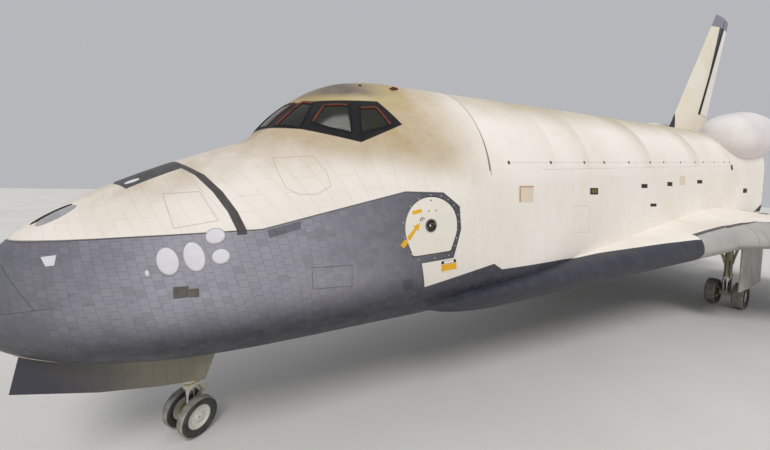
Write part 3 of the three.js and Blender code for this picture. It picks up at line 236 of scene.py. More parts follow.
def place(s, y, h):
    """Body frame points from their stations, lateral places and heights."""
    return np.stack(np.broadcast_arrays(s, y, h), -1)


def farthest(fits, low, up, rounds=26):
    """The greatest value from low to up that fits, by halving."""
    for _ in range(rounds):
        middle = (low + up) / 2
        good = fits(middle)
        low, up = np.where(good, middle, low), np.where(good, up, middle)
    return low


class Rows:
    """A short table whose columns are joined by monotone cubics over its first column."""

    def __init__(self, rows, abscissa=np.asarray):
        data = np.array(rows, float)
        self.abscissa = abscissa
        self.x = abscissa(data[:, 0])
        self.y = data[:, 1:]
        step = np.diff(self.x)[:, None]
        rise = np.diff(self.y, axis=0) / step
        self.slope = np.zeros_like(self.y)
        self.slope[0] = rise[0]
        self.slope[-1] = rise[-1]
        before, after = rise[:-1], rise[1:]
        same = before * after > 0
        total = np.where(same, before + after, 1.0)
        self.slope[1:-1] = np.where(same, 2 * before * after / total, 0.0)

    def at(self, x):
        """The row of values at each x, held at both ends of the table."""
        x = np.clip(self.abscissa(np.asarray(x, float)), self.x[0], self.x[-1])
        i = np.clip(np.searchsorted(self.x, x, side="right") - 1, 0, len(self.x) - 2)
        width = (self.x[i + 1] - self.x[i])[..., None]
        t = ((x - self.x[i]) / (self.x[i + 1] - self.x[i]))[..., None]
        start = (1 + 2 * t) * (1 - t) ** 2 * self.y[i] + t * (1 - t) ** 2 * width * self.slope[i]
        end = t * t * (3 - 2 * t) * self.y[i + 1] + t * t * (t - 1) * width * self.slope[i + 1]
        return start + end


FUSELAGE = Rows(FUSELAGE_ROWS, np.sqrt)
CANOPY = Rows(CANOPY_ROWS)
UPPER_ROOT = Rows(ROOT_UPPER)
LOWER_ROOT = Rows(ROOT_LOWER)
PODS = Rows(POD_ROWS)


def waist(s):
    """Height of the fuselage's widest point at station s."""
    return FUSELAGE.at(s)[..., 1]


def skin_radius(s, phi):
    """Distance from the section's centre to the skin, at angle phi above starboard."""
    s, phi = np.broadcast_arrays(np.asarray(s, float), np.asarray(phi, float))
    hb, hw, ht, w, nl, nu = np.moveaxis(FUSELAGE.at(s), -1, 0)
    c, d = np.cos(phi), np.sin(phi)
    high = np.where(d >= 0, ht - hw, hw - hb)
    power = np.where(d >= 0, nu, nl)
    plain = ((np.abs(c) / w) ** power + (np.abs(d) / high) ** power) ** (-1 / power)
    hc, top, half, bend = np.moveaxis(CANOPY.at(s), -1, 0)

    def in_canopy(r):
        over = np.maximum(hw + r * d - hc, 0) / (top - hc)
        return (np.abs(r * c) / half) ** bend + over ** bend <= 1

    covered = (s > CANOPY_ROWS[0][0]) & (s <= BAY_FRONT) & (d > 0)
    reach = farthest(in_canopy, np.zeros_like(plain), np.full_like(plain, 4.5), 24)
    canopy = np.where(covered, reach, 0)
    hard = np.maximum(plain, canopy)
    ratio = np.minimum(plain, canopy) / hard
    rounded = hard * (1 + ratio ** CREASE_POWER) ** (1 / CREASE_POWER)
    fade = np.clip((CREASE_FADE[1] - s) / (CREASE_FADE[1] - CREASE_FADE[0]), 0, 1)
    return hard + (rounded - hard) * fade


def skin_points(s, phi, lift=0.0):
    """Body frame points on the skin, lifted off it along the section's radius."""
    s, phi = np.broadcast_arrays(np.asarray(s, float), np.asarray(phi, float))
    r = np.maximum(skin_radius(s, phi) + lift, 0.004)
    return place(s, r * np.cos(phi), waist(s) + r * np.sin(phi))


def skin_y(s, h):
    """Half width of the skin at station s and height h."""
    s, h = np.broadcast_arrays(np.asarray(s, float), np.asarray(h, float))
    rise = h - waist(s)
    return farthest(lambda y: np.hypot(y, rise) <= skin_radius(s, np.arctan2(rise, y)), np.zeros(s.shape),
                    np.full(s.shape, 4.0))


def skin_h(s, y):
    """Height of the upper skin at station s and lateral place y."""
    s, y = np.broadcast_arrays(np.asarray(s, float), np.asarray(y, float))
    hw = waist(s)
    return farthest(lambda h: np.hypot(y, h - hw) <= skin_radius(s, np.arctan2(h - hw, np.abs(y))), hw + 0.0,
                    hw + 5.0)


def on_skin(points):
    """Points moved along their section's radius to the skin."""
    p = np.asarray(points, float)
    return skin_points(p[..., 0], np.arctan2(p[..., 2] - waist(p[..., 0]), p[..., 1]))


def skin_normals(points):
    """Outward normals of the skin at body frame points on it."""
    p = np.asarray(points, float)
    s = p[..., 0]
    phi = np.arctan2(p[..., 2] - waist(s), p[..., 1])
    step = 0.01
    along = skin_points(s + step, phi) - skin_points(np.maximum(s - step, 0), phi)
    around = skin_points(s, phi + step) - skin_points(s, phi - step)
    n = np.cross(around, along)
    return n / np.linalg.norm(n, axis=-1, keepdims=True)


GIRTH_S = np.concatenate([np.linspace(0, 2, 41) ** 2 / 2, np.arange(2.1, BASE_S, 0.25)])
GIRTH_PHI = np.linspace(0, math.pi, 121)


def girth_table():
    """Length along the skin from the crown, and along the side from the nose tip, over a grid."""
    p = skin_points(GIRTH_S[:, None], math.pi / 2 - GIRTH_PHI[None, :])
    step = np.linalg.norm(np.diff(p, axis=1), axis=-1)
    girth = np.concatenate([np.zeros((len(GIRTH_S), 1)), np.cumsum(step, axis=1)], axis=1)
    side = p[:, len(GIRTH_PHI) // 2]
    run = np.concatenate([[0], np.cumsum(np.linalg.norm(np.diff(side, axis=0), axis=-1))])
    rim = [np.interp(RIM_LINE_H, heights[::-1], lengths[::-1]) for heights, lengths in zip(p[..., 2], girth)]
    return girth, run, np.array(rim)


GIRTHS, RUNS, RIM_GIRTHS = girth_table()


def skin_lengths(points):
    """(length from the nose, length round from the crown, length below the rim line) near the skin."""
    s = np.clip(points[:, 0], 0, GIRTH_S[-1])
    phi = np.arctan2(np.abs(points[:, 1]), points[:, 2] - waist(s))
    i = np.clip(np.searchsorted(GIRTH_S, s) - 1, 0, len(GIRTH_S) - 2)
    t = (s - GIRTH_S[i]) / (GIRTH_S[i + 1] - GIRTH_S[i])
    u = phi / math.pi * (len(GIRTH_PHI) - 1)
    j = np.clip(u.astype(int), 0, len(GIRTH_PHI) - 2)
    v = u - j
    low = GIRTHS[i, j] * (1 - v) + GIRTHS[i, j + 1] * v
    high = GIRTHS[i + 1, j] * (1 - v) + GIRTHS[i + 1, j + 1] * v
    run = np.interp(s, GIRTH_S, RUNS)
    round_crown = low * (1 - t) + high * t
    return np.stack([run, round_crown, round_crown - np.interp(s, GIRTH_S, RIM_GIRTHS)], -1)


class Kit:
    """Vertices and faces of one piece, gathered from small closed solids in the body frame."""

    def __init__(self):
        self.verts = []
        self.faces = []

    def add(self, verts, faces):
        """One more closed solid, whose faces are turned outward by its volume's sign."""
        verts = np.asarray(verts, float).reshape(-1, 3)
        start = len(self.verts)
        volume = 0.0
        for f in faces:
            a = verts[f[0]]
            for j in range(1, len(f) - 1):
                volume += float(np.dot(a, np.cross(verts[f[j]], verts[f[j + 1]])))
        turn = -1 if volume < 0 else 1
        self.verts.extend(verts.tolist())
        self.faces.extend([[start + int(k) for k in f[::turn]] for f in faces])
        return self

    def loft(self, rings):
        """A solid through rings of equally many points."""
        rings = np.asarray(rings, float)
        return self.add(rings.reshape(-1, 3), ring_faces(*rings.shape[:2]))

    def turned(self, origin, axis, profile, sides):
        """A closed solid turned from (distance along the axis, radius) pairs, capped at both ends."""
        return self.loft(circles(origin, axis, [(d, max(r, 1e-5)) for d, r in profile], sides))

    def ring(self, origin, axis, profile, sides=64):
        """A ring turned from a closed profile of (distance along the axis, radius) pairs."""
        return self.add(circles(origin, axis, profile, sides), looped_faces(len(profile), sides))

    def rod(self, start, end, r0, r1=None, sides=24):
        """A rod with bevelled ends, of radius r0 at its start and r1 at its end."""
        start, end = np.asarray(start, float), np.asarray(end, float)
        length = float(np.linalg.norm(end - start))
        r1 = r0 if r1 is None else r1
        edge = min(0.12 * min(r0, r1), length * 0.2)
        profile = [(0, r0 - edge), (edge, r0), (length - edge, r1), (length, r1 - edge)]
        return self.turned(start, end - start, profile, sides)

    def box(self, centre, size, along=(1, 0, 0), up=(0, 0, 1), edge=None):
        """A block with bevelled edges, its size given along, across and up."""
        a = np.asarray(along, float) / np.linalg.norm(along)
        b = np.cross(np.asarray(up, float), a)
        b = b / np.linalg.norm(b)
        c = np.cross(a, b)
        half = np.asarray(size, float) / 2
        e = min(half) * 0.2 if edge is None else edge
        rings = []
        for z, inset in ((-half[2], e), (-half[2] + e, 0), (half[2] - e, 0), (half[2], e)):
            x, y = half[0] - inset, half[1] - inset
            corner = [(x - e, y), (x, y - e), (x, -y + e), (x - e, -y), (-x + e, -y), (-x, -y + e), (-x, y - e),
                      (-x + e, y)]
            rings.append([np.asarray(centre) + a * p + b * q + c * z for p, q in corner])
        return self.loft(rings)

    def plate(self, outline, side, thickness, rim, rings=4, bulge=0.0):
        """A plate on the skin inside an outline of (s, h) points, on the port or starboard side."""
        pts = np.asarray(outline, float)
        centre = pts.mean(axis=0)
        reach = np.linalg.norm(pts - centre, axis=1).max()
        levels = [(k / rings * (1 - rim / reach), thickness) for k in range(1, rings + 1)]
        levels += [(1 - 0.3 * rim / reach, thickness * 0.7), (1.0, 0.0), (1.0, -SUNK), (0.5, -SUNK)]
        layers = []
        for f, lift in levels:
            flat = centre + (pts - centre) * f
            base = side_points(flat, side)
            swell = bulge * (1 - f * f) if lift > 0 else 0.0
            layers.append(base + skin_normals(base) * (lift + swell))
        return self.loft(layers)

    def bead(self, path, width, height, closed=True):
        """A strip of rectangular section that follows a path of body frame points on the skin."""
        p = np.asarray(path, float)
        n = skin_normals(p)
        t = np.roll(p, -1, axis=0) - np.roll(p, 1, axis=0) if closed else np.gradient(p, axis=0)
        t = t / np.linalg.norm(t, axis=1, keepdims=True)
        b = np.cross(n, t)
        b = b / np.linalg.norm(b, axis=1, keepdims=True)
        w = width / 2
        section = [(-w, -SUNK), (-w, height * 0.7), (-w * 0.7, height), (w * 0.7, height), (w, height * 0.7),
                   (w, -SUNK)]
        rings = np.stack([p + b * x + n * z for x, z in section], axis=1)
        return self.add(rings, looped_faces(len(p), len(section))) if closed else self.loft(rings)

    def make(self, name, material=None):
        """The object of all that was gathered."""
        return mesh_object(name, to_row(self.verts), self.faces, material)


def ring_faces(count, around, closed_ends=True):
    """Faces between rings of points, one after the other, with or without the two ends."""
    i = np.arange(count - 1)[:, None] * around
    j = np.arange(around)
    a = i + j
    b = i + (j + 1) % around
    faces = np.stack([a, b, b + around, a + around], -1).reshape(-1, 4).tolist()
    if closed_ends:
        last = (count - 1) * around
        faces.append(list(range(around))[::-1])
        faces.append(list(range(last, last + around)))
    return faces


def looped_faces(count, around):
    """Faces of rings that are joined one to the next, and the last one to the first."""
    last = count * around
    faces = ring_faces(count + 1, around, closed_ends=False)
    return [[v - last if v >= last else v for v in f] for f in faces]


def axes_for(axis):
    """The axis as a unit vector, and two more across it."""
    a = np.asarray(axis, float)
    a = a / np.linalg.norm(a)
    ref = np.array([0, 0, 1.0]) if abs(a[2]) < 0.9 else np.array([1.0, 0, 0])
    u = np.cross(ref, a)
    u = u / np.linalg.norm(u)
    return a, u, np.cross(a, u)


def circles(origin, axis, profile, sides):
    """Circles round an axis, from (distance along it, radius) pairs."""
    a, u, v = axes_for(axis)
    t = np.linspace(0, 2 * math.pi, sides, endpoint=False)
    circle = np.cos(t)[:, None] * u + np.sin(t)[:, None] * v
    return np.array([np.asarray(origin) + a * d + circle * r for d, r in profile])


def mesh_object(name, verts, faces, material=None):
    """An object in the scene with smooth faces, from points in the row frame."""
    mesh = bpy.data.meshes.new(name)
    mesh.from_pydata(np.asarray(verts).tolist(), [], faces)
    mesh.update()
    obj = bpy.data.objects.new(name, mesh)
    bpy.context.scene.collection.objects.link(obj)
    shade(obj)
    if material is not None:
        mesh.materials.append(material)
    return obj


def shade(obj):
    """Smooth faces, with hard edges where they meet at more than the sharp angle."""
    mesh = obj.data
    mesh.polygons.foreach_set("use_smooth", np.ones(len(mesh.polygons), bool))
    mesh.set_sharp_from_angle(angle=SHARP_ANGLE)


def bake_modifiers(obj):
    """The evaluated shape becomes the object's own mesh, and its modifiers go."""
    bpy.context.view_layer.update()
    evaluated = obj.evaluated_get(bpy.context.evaluated_depsgraph_get())
    mesh = bpy.data.meshes.new_from_object(evaluated)
    mesh.name = obj.name
    old = obj.data
    obj.modifiers.clear()
    obj.data = mesh
    bpy.data.meshes.remove(old)


def carve(obj, cutters, operation="DIFFERENCE"):
    """Cuts an object by closed cutters, and removes the cutters."""
    for cutter in cutters:
        modifier = obj.modifiers.new("carve", "BOOLEAN")
        modifier.operation = operation
        modifier.solver = "MANIFOLD"
        modifier.object = cutter
    bake_modifiers(obj)
    for cutter in cutters:
        mesh = cutter.data
        bpy.data.objects.remove(cutter)
        bpy.data.meshes.remove(mesh)
    if len(obj.data.polygons) == 0:
        raise RuntimeError(f"{obj.name} is empty after a cut")
    return obj


def new_tree(name, sockets):
    """A node tree with named inputs, ending in a realized geometry that wears the finish."""
    tree = bpy.data.node_groups.new(name, "GeometryNodeTree")
    for label, kind, value in [("Geometry", "Geometry", None), *sockets, ("Finish", "Material", None)]:
        socket = tree.interface.new_socket(name=label, in_out="INPUT", socket_type=f"NodeSocket{kind}")
        if value is not None:
            socket.default_value = value
    tree.interface.new_socket(name="Geometry", in_out="OUTPUT", socket_type="NodeSocketGeometry")
    start = tree.nodes.new("NodeGroupInput")

    def node(kind, inputs=(), **settings):
        made = tree.nodes.new(kind)
        for key, value in settings.items():
            setattr(made, key, value)
        for key, value in dict(inputs).items():
            if isinstance(value, bpy.types.NodeSocket):
                tree.links.new(value, made.inputs[key])
            else:
                made.inputs[key].default_value = value
        return made

    def close(geometry):
        realized = node("GeometryNodeRealizeInstances", {"Geometry": geometry})
        dressed_up = node("GeometryNodeSetMaterial", {"Geometry": realized.outputs[0],
                                                      "Material": start.outputs["Finish"]})
        end = tree.nodes.new("NodeGroupOutput")
        tree.links.new(dressed_up.outputs[0], end.inputs[0])
        return tree

    return start.outputs, node, close


def stud_tree():
    """Round studs with a smaller head, one at each point, standing along the point's own direction."""
    given, node, close = new_tree("stud_rows", [("Radius", "Float", 0.01), ("Height", "Float", 0.005),
                                                ("Sides", "Int", 10)])
    stud = node("GeometryNodeMeshCone", {"Vertices": given["Sides"], "Radius Bottom": given["Radius"],
                                         "Depth": given["Height"]})
    top = node("ShaderNodeMath", {0: given["Radius"], 1: 0.7}, operation="MULTIPLY")
    stud.id_data.links.new(top.outputs[0], stud.inputs["Radius Top"])
    way = node("GeometryNodeInputNamedAttribute", {"Name": "way"}, data_type="FLOAT_VECTOR")
    turn = node("FunctionNodeAlignRotationToVector", {"Vector": way.outputs[0]}, axis="Z")
    rows = node("GeometryNodeInstanceOnPoints", {"Points": given["Geometry"], "Instance": stud.outputs[0],
                                                 "Rotation": turn.outputs[0]})
    return close(rows.outputs[0])


def bell_tree():
    """A nozzle bell that widens by a power rule, with hoops round it and a wall that thins out at both ends."""
    given, node, close = new_tree("nozzle_bell", [("Length", "Float", 2.0), ("Throat", "Float", 0.3),
                                                  ("Mouth", "Float", 1.0), ("Wall", "Float", 0.05),
                                                  ("Power", "Float", 0.6), ("Hoops", "Float", 9.0),
                                                  ("Hoop Height", "Float", 0.02), ("Around", "Int", 96),
                                                  ("Along", "Int", 160)])

    def calc(operation, *values):
        return node("ShaderNodeMath", dict(enumerate(values)), operation=operation).outputs[0]

    grid = node("GeometryNodeMeshGrid", {"Size X": 1.0, "Size Y": 1.0, "Vertices X": given["Around"],
                                         "Vertices Y": given["Along"]})
    spot = node("ShaderNodeSeparateXYZ", {0: node("GeometryNodeInputPosition").outputs[0]})
    angle = calc("MULTIPLY", calc("ADD", spot.outputs[0], 0.5), 2 * math.pi)
    t = calc("ADD", spot.outputs[1], 0.5)
    outer = calc("LESS_THAN", t, 0.5)
    z = calc("SUBTRACT", 1.0, calc("ABSOLUTE", calc("MULTIPLY_ADD", t, 2.0, -1.0)))
    spread = calc("SUBTRACT", given["Mouth"], given["Throat"])
    radius = calc("MULTIPLY_ADD", calc("POWER", z, given["Power"]), spread, given["Throat"])
    thin = calc("SUBTRACT", 1.0, calc("POWER", calc("ABSOLUTE", calc("MULTIPLY_ADD", z, 2.0, -1.0)), 24.0))
    wave = calc("POWER", calc("ABSOLUTE", calc("SINE", calc("MULTIPLY", calc("MULTIPLY", z, given["Hoops"]), math.pi))),
                8.0)
    wall = calc("MULTIPLY", calc("MULTIPLY_ADD", wave, given["Hoop Height"], given["Wall"]), thin)
    radius = calc("MULTIPLY_ADD", wall, outer, radius)
    x = calc("MULTIPLY", radius, calc("COSINE", angle))
    y = calc("MULTIPLY", radius, calc("SINE", angle))
    where = node("ShaderNodeCombineXYZ", {0: x, 1: y, 2: calc("MULTIPLY", z, given["Length"])})
    bent = node("GeometryNodeSetPosition", {"Geometry": grid.outputs[0], "Position": where.outputs[0]})
    sewn = node("GeometryNodeMergeByDistance", {"Geometry": bent.outputs[0], "Distance": 0.0002})
    return close(sewn.outputs[0])


def hoop_tree():
    """Arched frames of rectangular section, one at each point."""
    given, node, close = new_tree("bay_frames", [("Radius", "Float", 2.3), ("Depth", "Float", 0.09),
                                                 ("Width", "Float", 0.06), ("Sweep", "Float", 3.4),
                                                 ("Steps", "Int", 48)])
    arc = node("GeometryNodeCurveArc", {"Resolution": given["Steps"], "Radius": given["Radius"],
                                        "Sweep Angle": given["Sweep"]})
    section = node("GeometryNodeCurvePrimitiveQuadrilateral", {"Width": given["Depth"], "Height": given["Width"]})
    hoop = node("GeometryNodeCurveToMesh", {"Curve": arc.outputs[0], "Profile Curve": section.outputs[0],
                                            "Fill Caps": True})
    way = node("GeometryNodeInputNamedAttribute", {"Name": "turn"}, data_type="FLOAT_VECTOR")
    rows = node("GeometryNodeInstanceOnPoints", {"Points": given["Geometry"], "Instance": hoop.outputs[0],
                                                 "Rotation": way.outputs[0]})
    return close(rows.outputs[0])


TREES = {}


def grown(name, tree, look, values, points=((0, 0, 0),), attribute=None, vectors=None):
    """The plain mesh that a node tree makes from points, with its inputs set by name."""
    if tree not in TREES:
        TREES[tree] = tree()
    obj = mesh_object(name, points, [])
    if attribute:
        layer = obj.data.attributes.new(attribute, "FLOAT_VECTOR", "POINT")
        layer.data.foreach_set("vector", np.asarray(vectors, np.float32).ravel())
    modifier = obj.modifiers.new("grow", "NODES")
    modifier.node_group = TREES[tree]
    for item in TREES[tree].interface.items_tree:
        if item.in_out == "INPUT" and item.name in values:
            modifier[item.identifier] = values[item.name]
        if item.in_out == "INPUT" and item.name == "Finish":
            modifier[item.identifier] = finish(look)
    bake_modifiers(obj)
    if len(obj.data.polygons) == 0:
        raise RuntimeError(f"{name} is empty")
    shade(obj)
    return obj


def studs(name, look, points, body, radius, height, normals=None, sides=10, sunk=0.003):
    """Studs at body frame points, along the skin's normals if none are given."""
    p = np.asarray(points, float)
    n = skin_normals(p) if normals is None else np.broadcast_to(np.asarray(normals, float), p.shape)
    obj = grown(name, stud_tree, look, {"Radius": radius, "Height": height + sunk, "Sides": sides},
                to_row(p - n * sunk), "way", turn_row(n))
    return finish_piece(obj, body)


def side_points(outline, side=PORT):
    """Body frame points on the skin from (s, h) pairs."""
    p = np.asarray(outline, float)
    return place(p[:, 0], side * skin_y(p[:, 0], p[:, 1]), p[:, 1])


def spaced(outline, gap, closed=True):
    """Points about gap apart along an outline."""
    p = [np.asarray(q, float) for q in outline]
    ends = p[1:] + p[:1] if closed else p[1:]
    out = []
    for a, b in zip(p, ends):
        count = max(int(round(np.linalg.norm(b - a) / gap)), 1)
        out += [a + (b - a) * k / count for k in range(count)]
    return out if closed else out + [p[-1]]


def oval(s, h, half_s, half_h, lean, points=40):
    """An oval as (s, h) points, its long axis leaning by an angle."""
    t = np.linspace(0, 2 * math.pi, points, endpoint=False)
    x, z = half_s * np.cos(t), half_h * np.sin(t)
    return np.stack([s + x * math.cos(lean) - z * math.sin(lean), h + x * math.sin(lean) + z * math.cos(lean)], -1)


def prism(outline, y0, y1):
    """A cutter through an outline of (s, h) points, from y0 to y1."""
    pts = np.asarray(outline, float)
    return Kit().loft([place(pts[:, 0], y, pts[:, 1]) for y in (y0, y1)]).make("cutter")


def block(s0, s1, y0, y1, h0, h1):
    """A cutter the shape of a box."""
    return prism([(s0, h0), (s1, h0), (s1, h1), (s0, h1)], y0, y1)


def mirrored(points):
    """Points of the starboard side from points of the port side, in reverse order."""
    return [(s, -y, h) for s, y, h in reversed(points)]


def pane_prism(corners, grow, reach_out, reach_in):
    """A cutter through a pane's corners along their mean normal, with the corners moved outward by grow."""
    pts = np.asarray(corners, float)
    centre = pts.mean(axis=0)
    arms = pts - centre
    normal = np.cross(arms, np.roll(arms, -1, axis=0)).sum(axis=0)
    normal /= np.linalg.norm(normal)
    if normal @ np.array([-1.5, centre[1], 1.5]) < 0:
        normal = -normal
    arms = arms - (arms @ normal)[:, None] * normal
    arms = arms + grow * arms / np.linalg.norm(arms, axis=1, keepdims=True)
    rings = [centre + arms + normal * reach_out, centre + arms - normal * reach_in]
    return Kit().loft(rings).make("cutter")


def finish_piece(obj, body, nodes=(), skin=False):
    """Rides the piece on its body, in place of the nodes it stands for."""
    if skin:
        add_skin_lengths(obj)
    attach(obj, body)
    if nodes:
        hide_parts(*nodes)
    return obj


def vectors_of(items, key):
    """A vector property of all of a mesh's items, as rows."""
    values = np.zeros(len(items) * 3)
    items.foreach_get(key, values)
    return values.reshape(-1, 3)


def add_skin_lengths(obj):
    """Keeps at each vertex its lengths along and round the skin, for the paints."""
    mesh = obj.data
    lengths = skin_lengths(to_body(vectors_of(mesh.vertices, "co")))
    mesh.attributes.new("skin", "FLOAT_VECTOR", "POINT").data.foreach_set("vector", lengths.astype(np.float32).ravel())


def linear(red, green, blue):
    """A colour given as 0 to 255 display values, as linear red, green, blue and alpha."""
    parts = [c / 255 for c in (red, green, blue)]
    return tuple(c / 12.92 if c <= 0.04045 else ((c + 0.055) / 1.055) ** 2.4 for c in parts) + (1.0,)


class Signal:
    """One number of a material that varies over the surface, with plain sums between such numbers."""

    def __init__(self, paint, socket):
        self.paint = paint
        self.socket = socket

    def __add__(self, other):
        return self.paint.math("ADD", self, other)

    def __sub__(self, other):
        return self.paint.math("SUBTRACT", self, other)

    def __rsub__(self, other):
        return self.paint.math("SUBTRACT", other, self)

    def __mul__(self, other):
        return self.paint.math("MULTIPLY", self, other)

    def __neg__(self):
        return self * -1.0

    def __abs__(self):
        return self.paint.math("ABSOLUTE", self)

    def __gt__(self, level):
        return self.paint.math("GREATER_THAN", self, level)

    def __lt__(self, level):
        return self.paint.math("LESS_THAN", self, level)

    def ramp(self, low, high, first=0.0, last=1.0):
        """Maps low..high to first..last, held at both ends."""
        return self.paint.mapped(self, low, high, first, last, "LINEAR")

    def ease(self, low, high, first=0.0, last=1.0):
        """Like ramp, with soft ends."""
        return self.paint.mapped(self, low, high, first, last, "SMOOTHSTEP")

    def near(self, width):
        """1 where a distance is within width of nothing."""
        return abs(self) < width


class Paint:
    """The nodes of one material, with short calls for the sums that it needs."""

    def __init__(self, name, roughness=0.6, metallic=0.0):
        self.material = bpy.data.materials.new(name)
        self.material.use_nodes = True
        self.tree = self.material.node_tree
        self.tree.nodes.clear()
        out = self.tree.nodes.new("ShaderNodeOutputMaterial")
        self.shader = self.tree.nodes.new("ShaderNodeBsdfPrincipled")
        self.shader.inputs["Roughness"].default_value = roughness
        self.shader.inputs["Metallic"].default_value = metallic
        self.tree.links.new(self.shader.outputs[0], out.inputs[0])
        self.place = None

    def put(self, socket, value):
        """Links a signal or another socket to a socket, or sets it to a plain value."""
        if isinstance(value, Signal):
            value = value.socket
        if isinstance(value, bpy.types.NodeSocket):
            self.tree.links.new(value, socket)
        else:
            socket.default_value = value

    def node(self, kind, inputs=(), **settings):
        """A new node of a kind, with its settings and its inputs by number or name."""
        node = self.tree.nodes.new(kind)
        for key, value in settings.items():
            setattr(node, key, value)
        for key, value in dict(inputs).items():
            self.put(node.inputs[key], value)
        return node

    def math(self, operation, *values):
        """One step of arithmetic between signals and numbers."""
        node = self.node("ShaderNodeMath", dict(enumerate(values)), operation=operation)
        return Signal(self, node.outputs[0])

    def least(self, *values):
        """The least of some signals and numbers."""
        return reduce(lambda a, b: self.math("MINIMUM", a, b), values)

    def most(self, *values):
        """The greatest of some signals and numbers."""
        return reduce(lambda a, b: self.math("MAXIMUM", a, b), values)

    def mapped(self, value, low, high, first, last, way):
        """Maps low..high to first..last in a way of blending, held at both ends."""
        node = self.node("ShaderNodeMapRange", dict(enumerate((value, low, high, first, last))),
                         clamp=True, interpolation_type=way)
        return Signal(self, node.outputs[0])

    def mix(self, factor, first, second):
        """The first colour, turned into the second one by a factor from 0 to 1."""
        colours = [linear(*c) if isinstance(c, tuple) else c for c in (first, second)]
        node = self.node("ShaderNodeMix", {0: factor, 6: colours[0], 7: colours[1]}, data_type="RGBA",
                         blend_type="MIX", clamp_factor=True)
        return node.outputs[2]

    def object_point(self):
        """The shaded point in the object's own frame, which is the row frame."""
        return self.node("ShaderNodeTexCoord").outputs["Object"]

    def split(self, vector):
        """The three parts of a vector."""
        return [Signal(self, out) for out in self.node("ShaderNodeSeparateXYZ", {0: vector}).outputs]

    def body_point(self):
        """The shaded point as a body frame vector, in metres."""
        if self.place is None:
            origin = (CENTRE_X * COS_DOWN - FLOOR_LIFT * SIN_DOWN, 0, -CENTRE_X * SIN_DOWN - FLOOR_LIFT * COS_DOWN)
            self.place = self.node("ShaderNodeMapping", {"Vector": self.object_point(), "Location": origin,
                                                         "Rotation": (0, NOSE_DOWN, 0)}, vector_type="POINT").outputs[0]
        return self.place

    def body(self):
        """Station, lateral place and height of the shaded point."""
        return self.split(self.body_point())

    def noise(self, scale, detail=3.0, vector=None, roughness=0.5, stretch=None):
        """Soft noise from 0 to 1 over the body, or over another vector, with its axes scaled by stretch."""
        vector = self.body_point() if vector is None else vector
        if stretch is not None:
            scaled = self.node("ShaderNodeMapping", {"Vector": vector, "Scale": stretch}, vector_type="POINT")
            vector = scaled.outputs[0]
        node = self.node("ShaderNodeTexNoise", {"Vector": vector, "Scale": scale, "Detail": detail,
                                                "Roughness": roughness})
        return Signal(self, node.outputs["Fac"])

    def skin_lengths(self):
        """Lengths along the skin, round from the crown and below the rim line."""
        return self.split(self.node("ShaderNodeAttribute", attribute_name="skin").outputs["Vector"])

    def tiles(self, across, along, size, row, gap):
        """(random tone of each tile, 1 in the gaps), with unbroken lines every row of along."""
        grid = self.node("ShaderNodeCombineXYZ", {0: across, 1: along}).outputs[0]
        node = self.node("ShaderNodeTexBrick", {
            "Vector": grid, "Color1": (0, 0, 0, 1), "Color2": (1, 1, 1, 1), "Mortar": (0.5, 0.5, 0.5, 1), "Scale": 1.0,
            "Mortar Size": gap, "Mortar Smooth": 0.3, "Brick Width": size, "Row Height": row},
            offset=0.5, offset_frequency=2, squash=1.0)
        return Signal(self, node.outputs["Color"]), Signal(self, node.outputs["Fac"])

    def left_of(self, a, b, p, q):
        """Signed distance of (a, b) to the left of the line from p to q."""
        dx, dy = q[0] - p[0], q[1] - p[1]
        length = math.hypot(dx, dy)
        nx, ny = -dy / length, dx / length
        return self.math("MULTIPLY_ADD", b, ny, self.math("MULTIPLY_ADD", a, nx, -(nx * p[0] + ny * p[1])))

    def polygon(self, a, b, corners):
        """Signed distance into a convex polygon, positive inside."""
        area = sum(p[0] * q[1] - q[0] * p[1] for p, q in zip(corners, corners[1:] + corners[:1]))
        pts = corners if area > 0 else corners[::-1]
        return self.least(*[self.left_of(a, b, p, q) for p, q in zip(pts, pts[1:] + pts[:1])])

    def polyline(self, a, corners):
        """Height over a of a line through the corners, flat past both ends."""
        total = corners[0][1]
        for p, q in zip(corners, corners[1:]):
            total = a.ramp(p[0], q[0], 0.0, q[1] - p[1]) + total
        return total

    def bump(self, height, strength, distance):
        """Relief in the shading only, from a height."""
        node = self.node("ShaderNodeBump", {"Strength": strength, "Distance": distance, "Height": height})
        self.put(self.shader.inputs["Normal"], node.outputs[0])

    def done(self, colour, roughness=None):
        """The finished material."""
        self.put(self.shader.inputs["Base Color"], colour)
        if roughness is not None:
            self.put(self.shader.inputs["Roughness"], roughness)
        return self.material


SEAM = (122, 114, 102)

# Upper edge of the dark tiles on the side, as station and height.
RIM_LINE = [(0.0, 2.49), (0.84, 2.496), (2.3, 2.513), (4.0, 2.506), (4.606, 2.623), (5.308, 2.757),
            (6.079, 2.906), (6.515, 2.981)]
# Aft end of that edge, from top to bottom.
RIM_END = [(6.515, 3.2), (6.968, 1.052)]
# Upper edge of the dark tiles low on the side, aft of the hatch.
LOW_LINE = [(6.968, 1.052), (8.901, 1.247), (9.183, 1.066), (11.672, 0.912), (17.119, 0.451), (33.0, 0.45)]
HATCH_SURROUND = [(6.20, 2.929), (6.615, 3.009), (7.434, 2.955), (7.806, 2.654), (7.845, 2.176), (7.653, 1.584),
                  (6.787, 1.593), (6.30, 1.593)]
# Front edge of the grey band over the nose as height and station, and its patch on the top as station and distance
# from the middle.
BAND_LINE = [(2.52, 3.636), (2.808, 3.537), (3.131, 3.358), (3.419, 3.125), (3.609, 2.834), (3.72, 2.50),
             (3.80, 2.0)]
BAND_WIDTH = 0.135
BAND_LOW_H = 2.45
BAND_TOP_PATCH = [(1.915, 0.0), (1.915, 0.326), (2.141, 0.753), (2.990, 0.753), (2.72, 0.0)]
BAND_TOP_LOW_H = 2.9
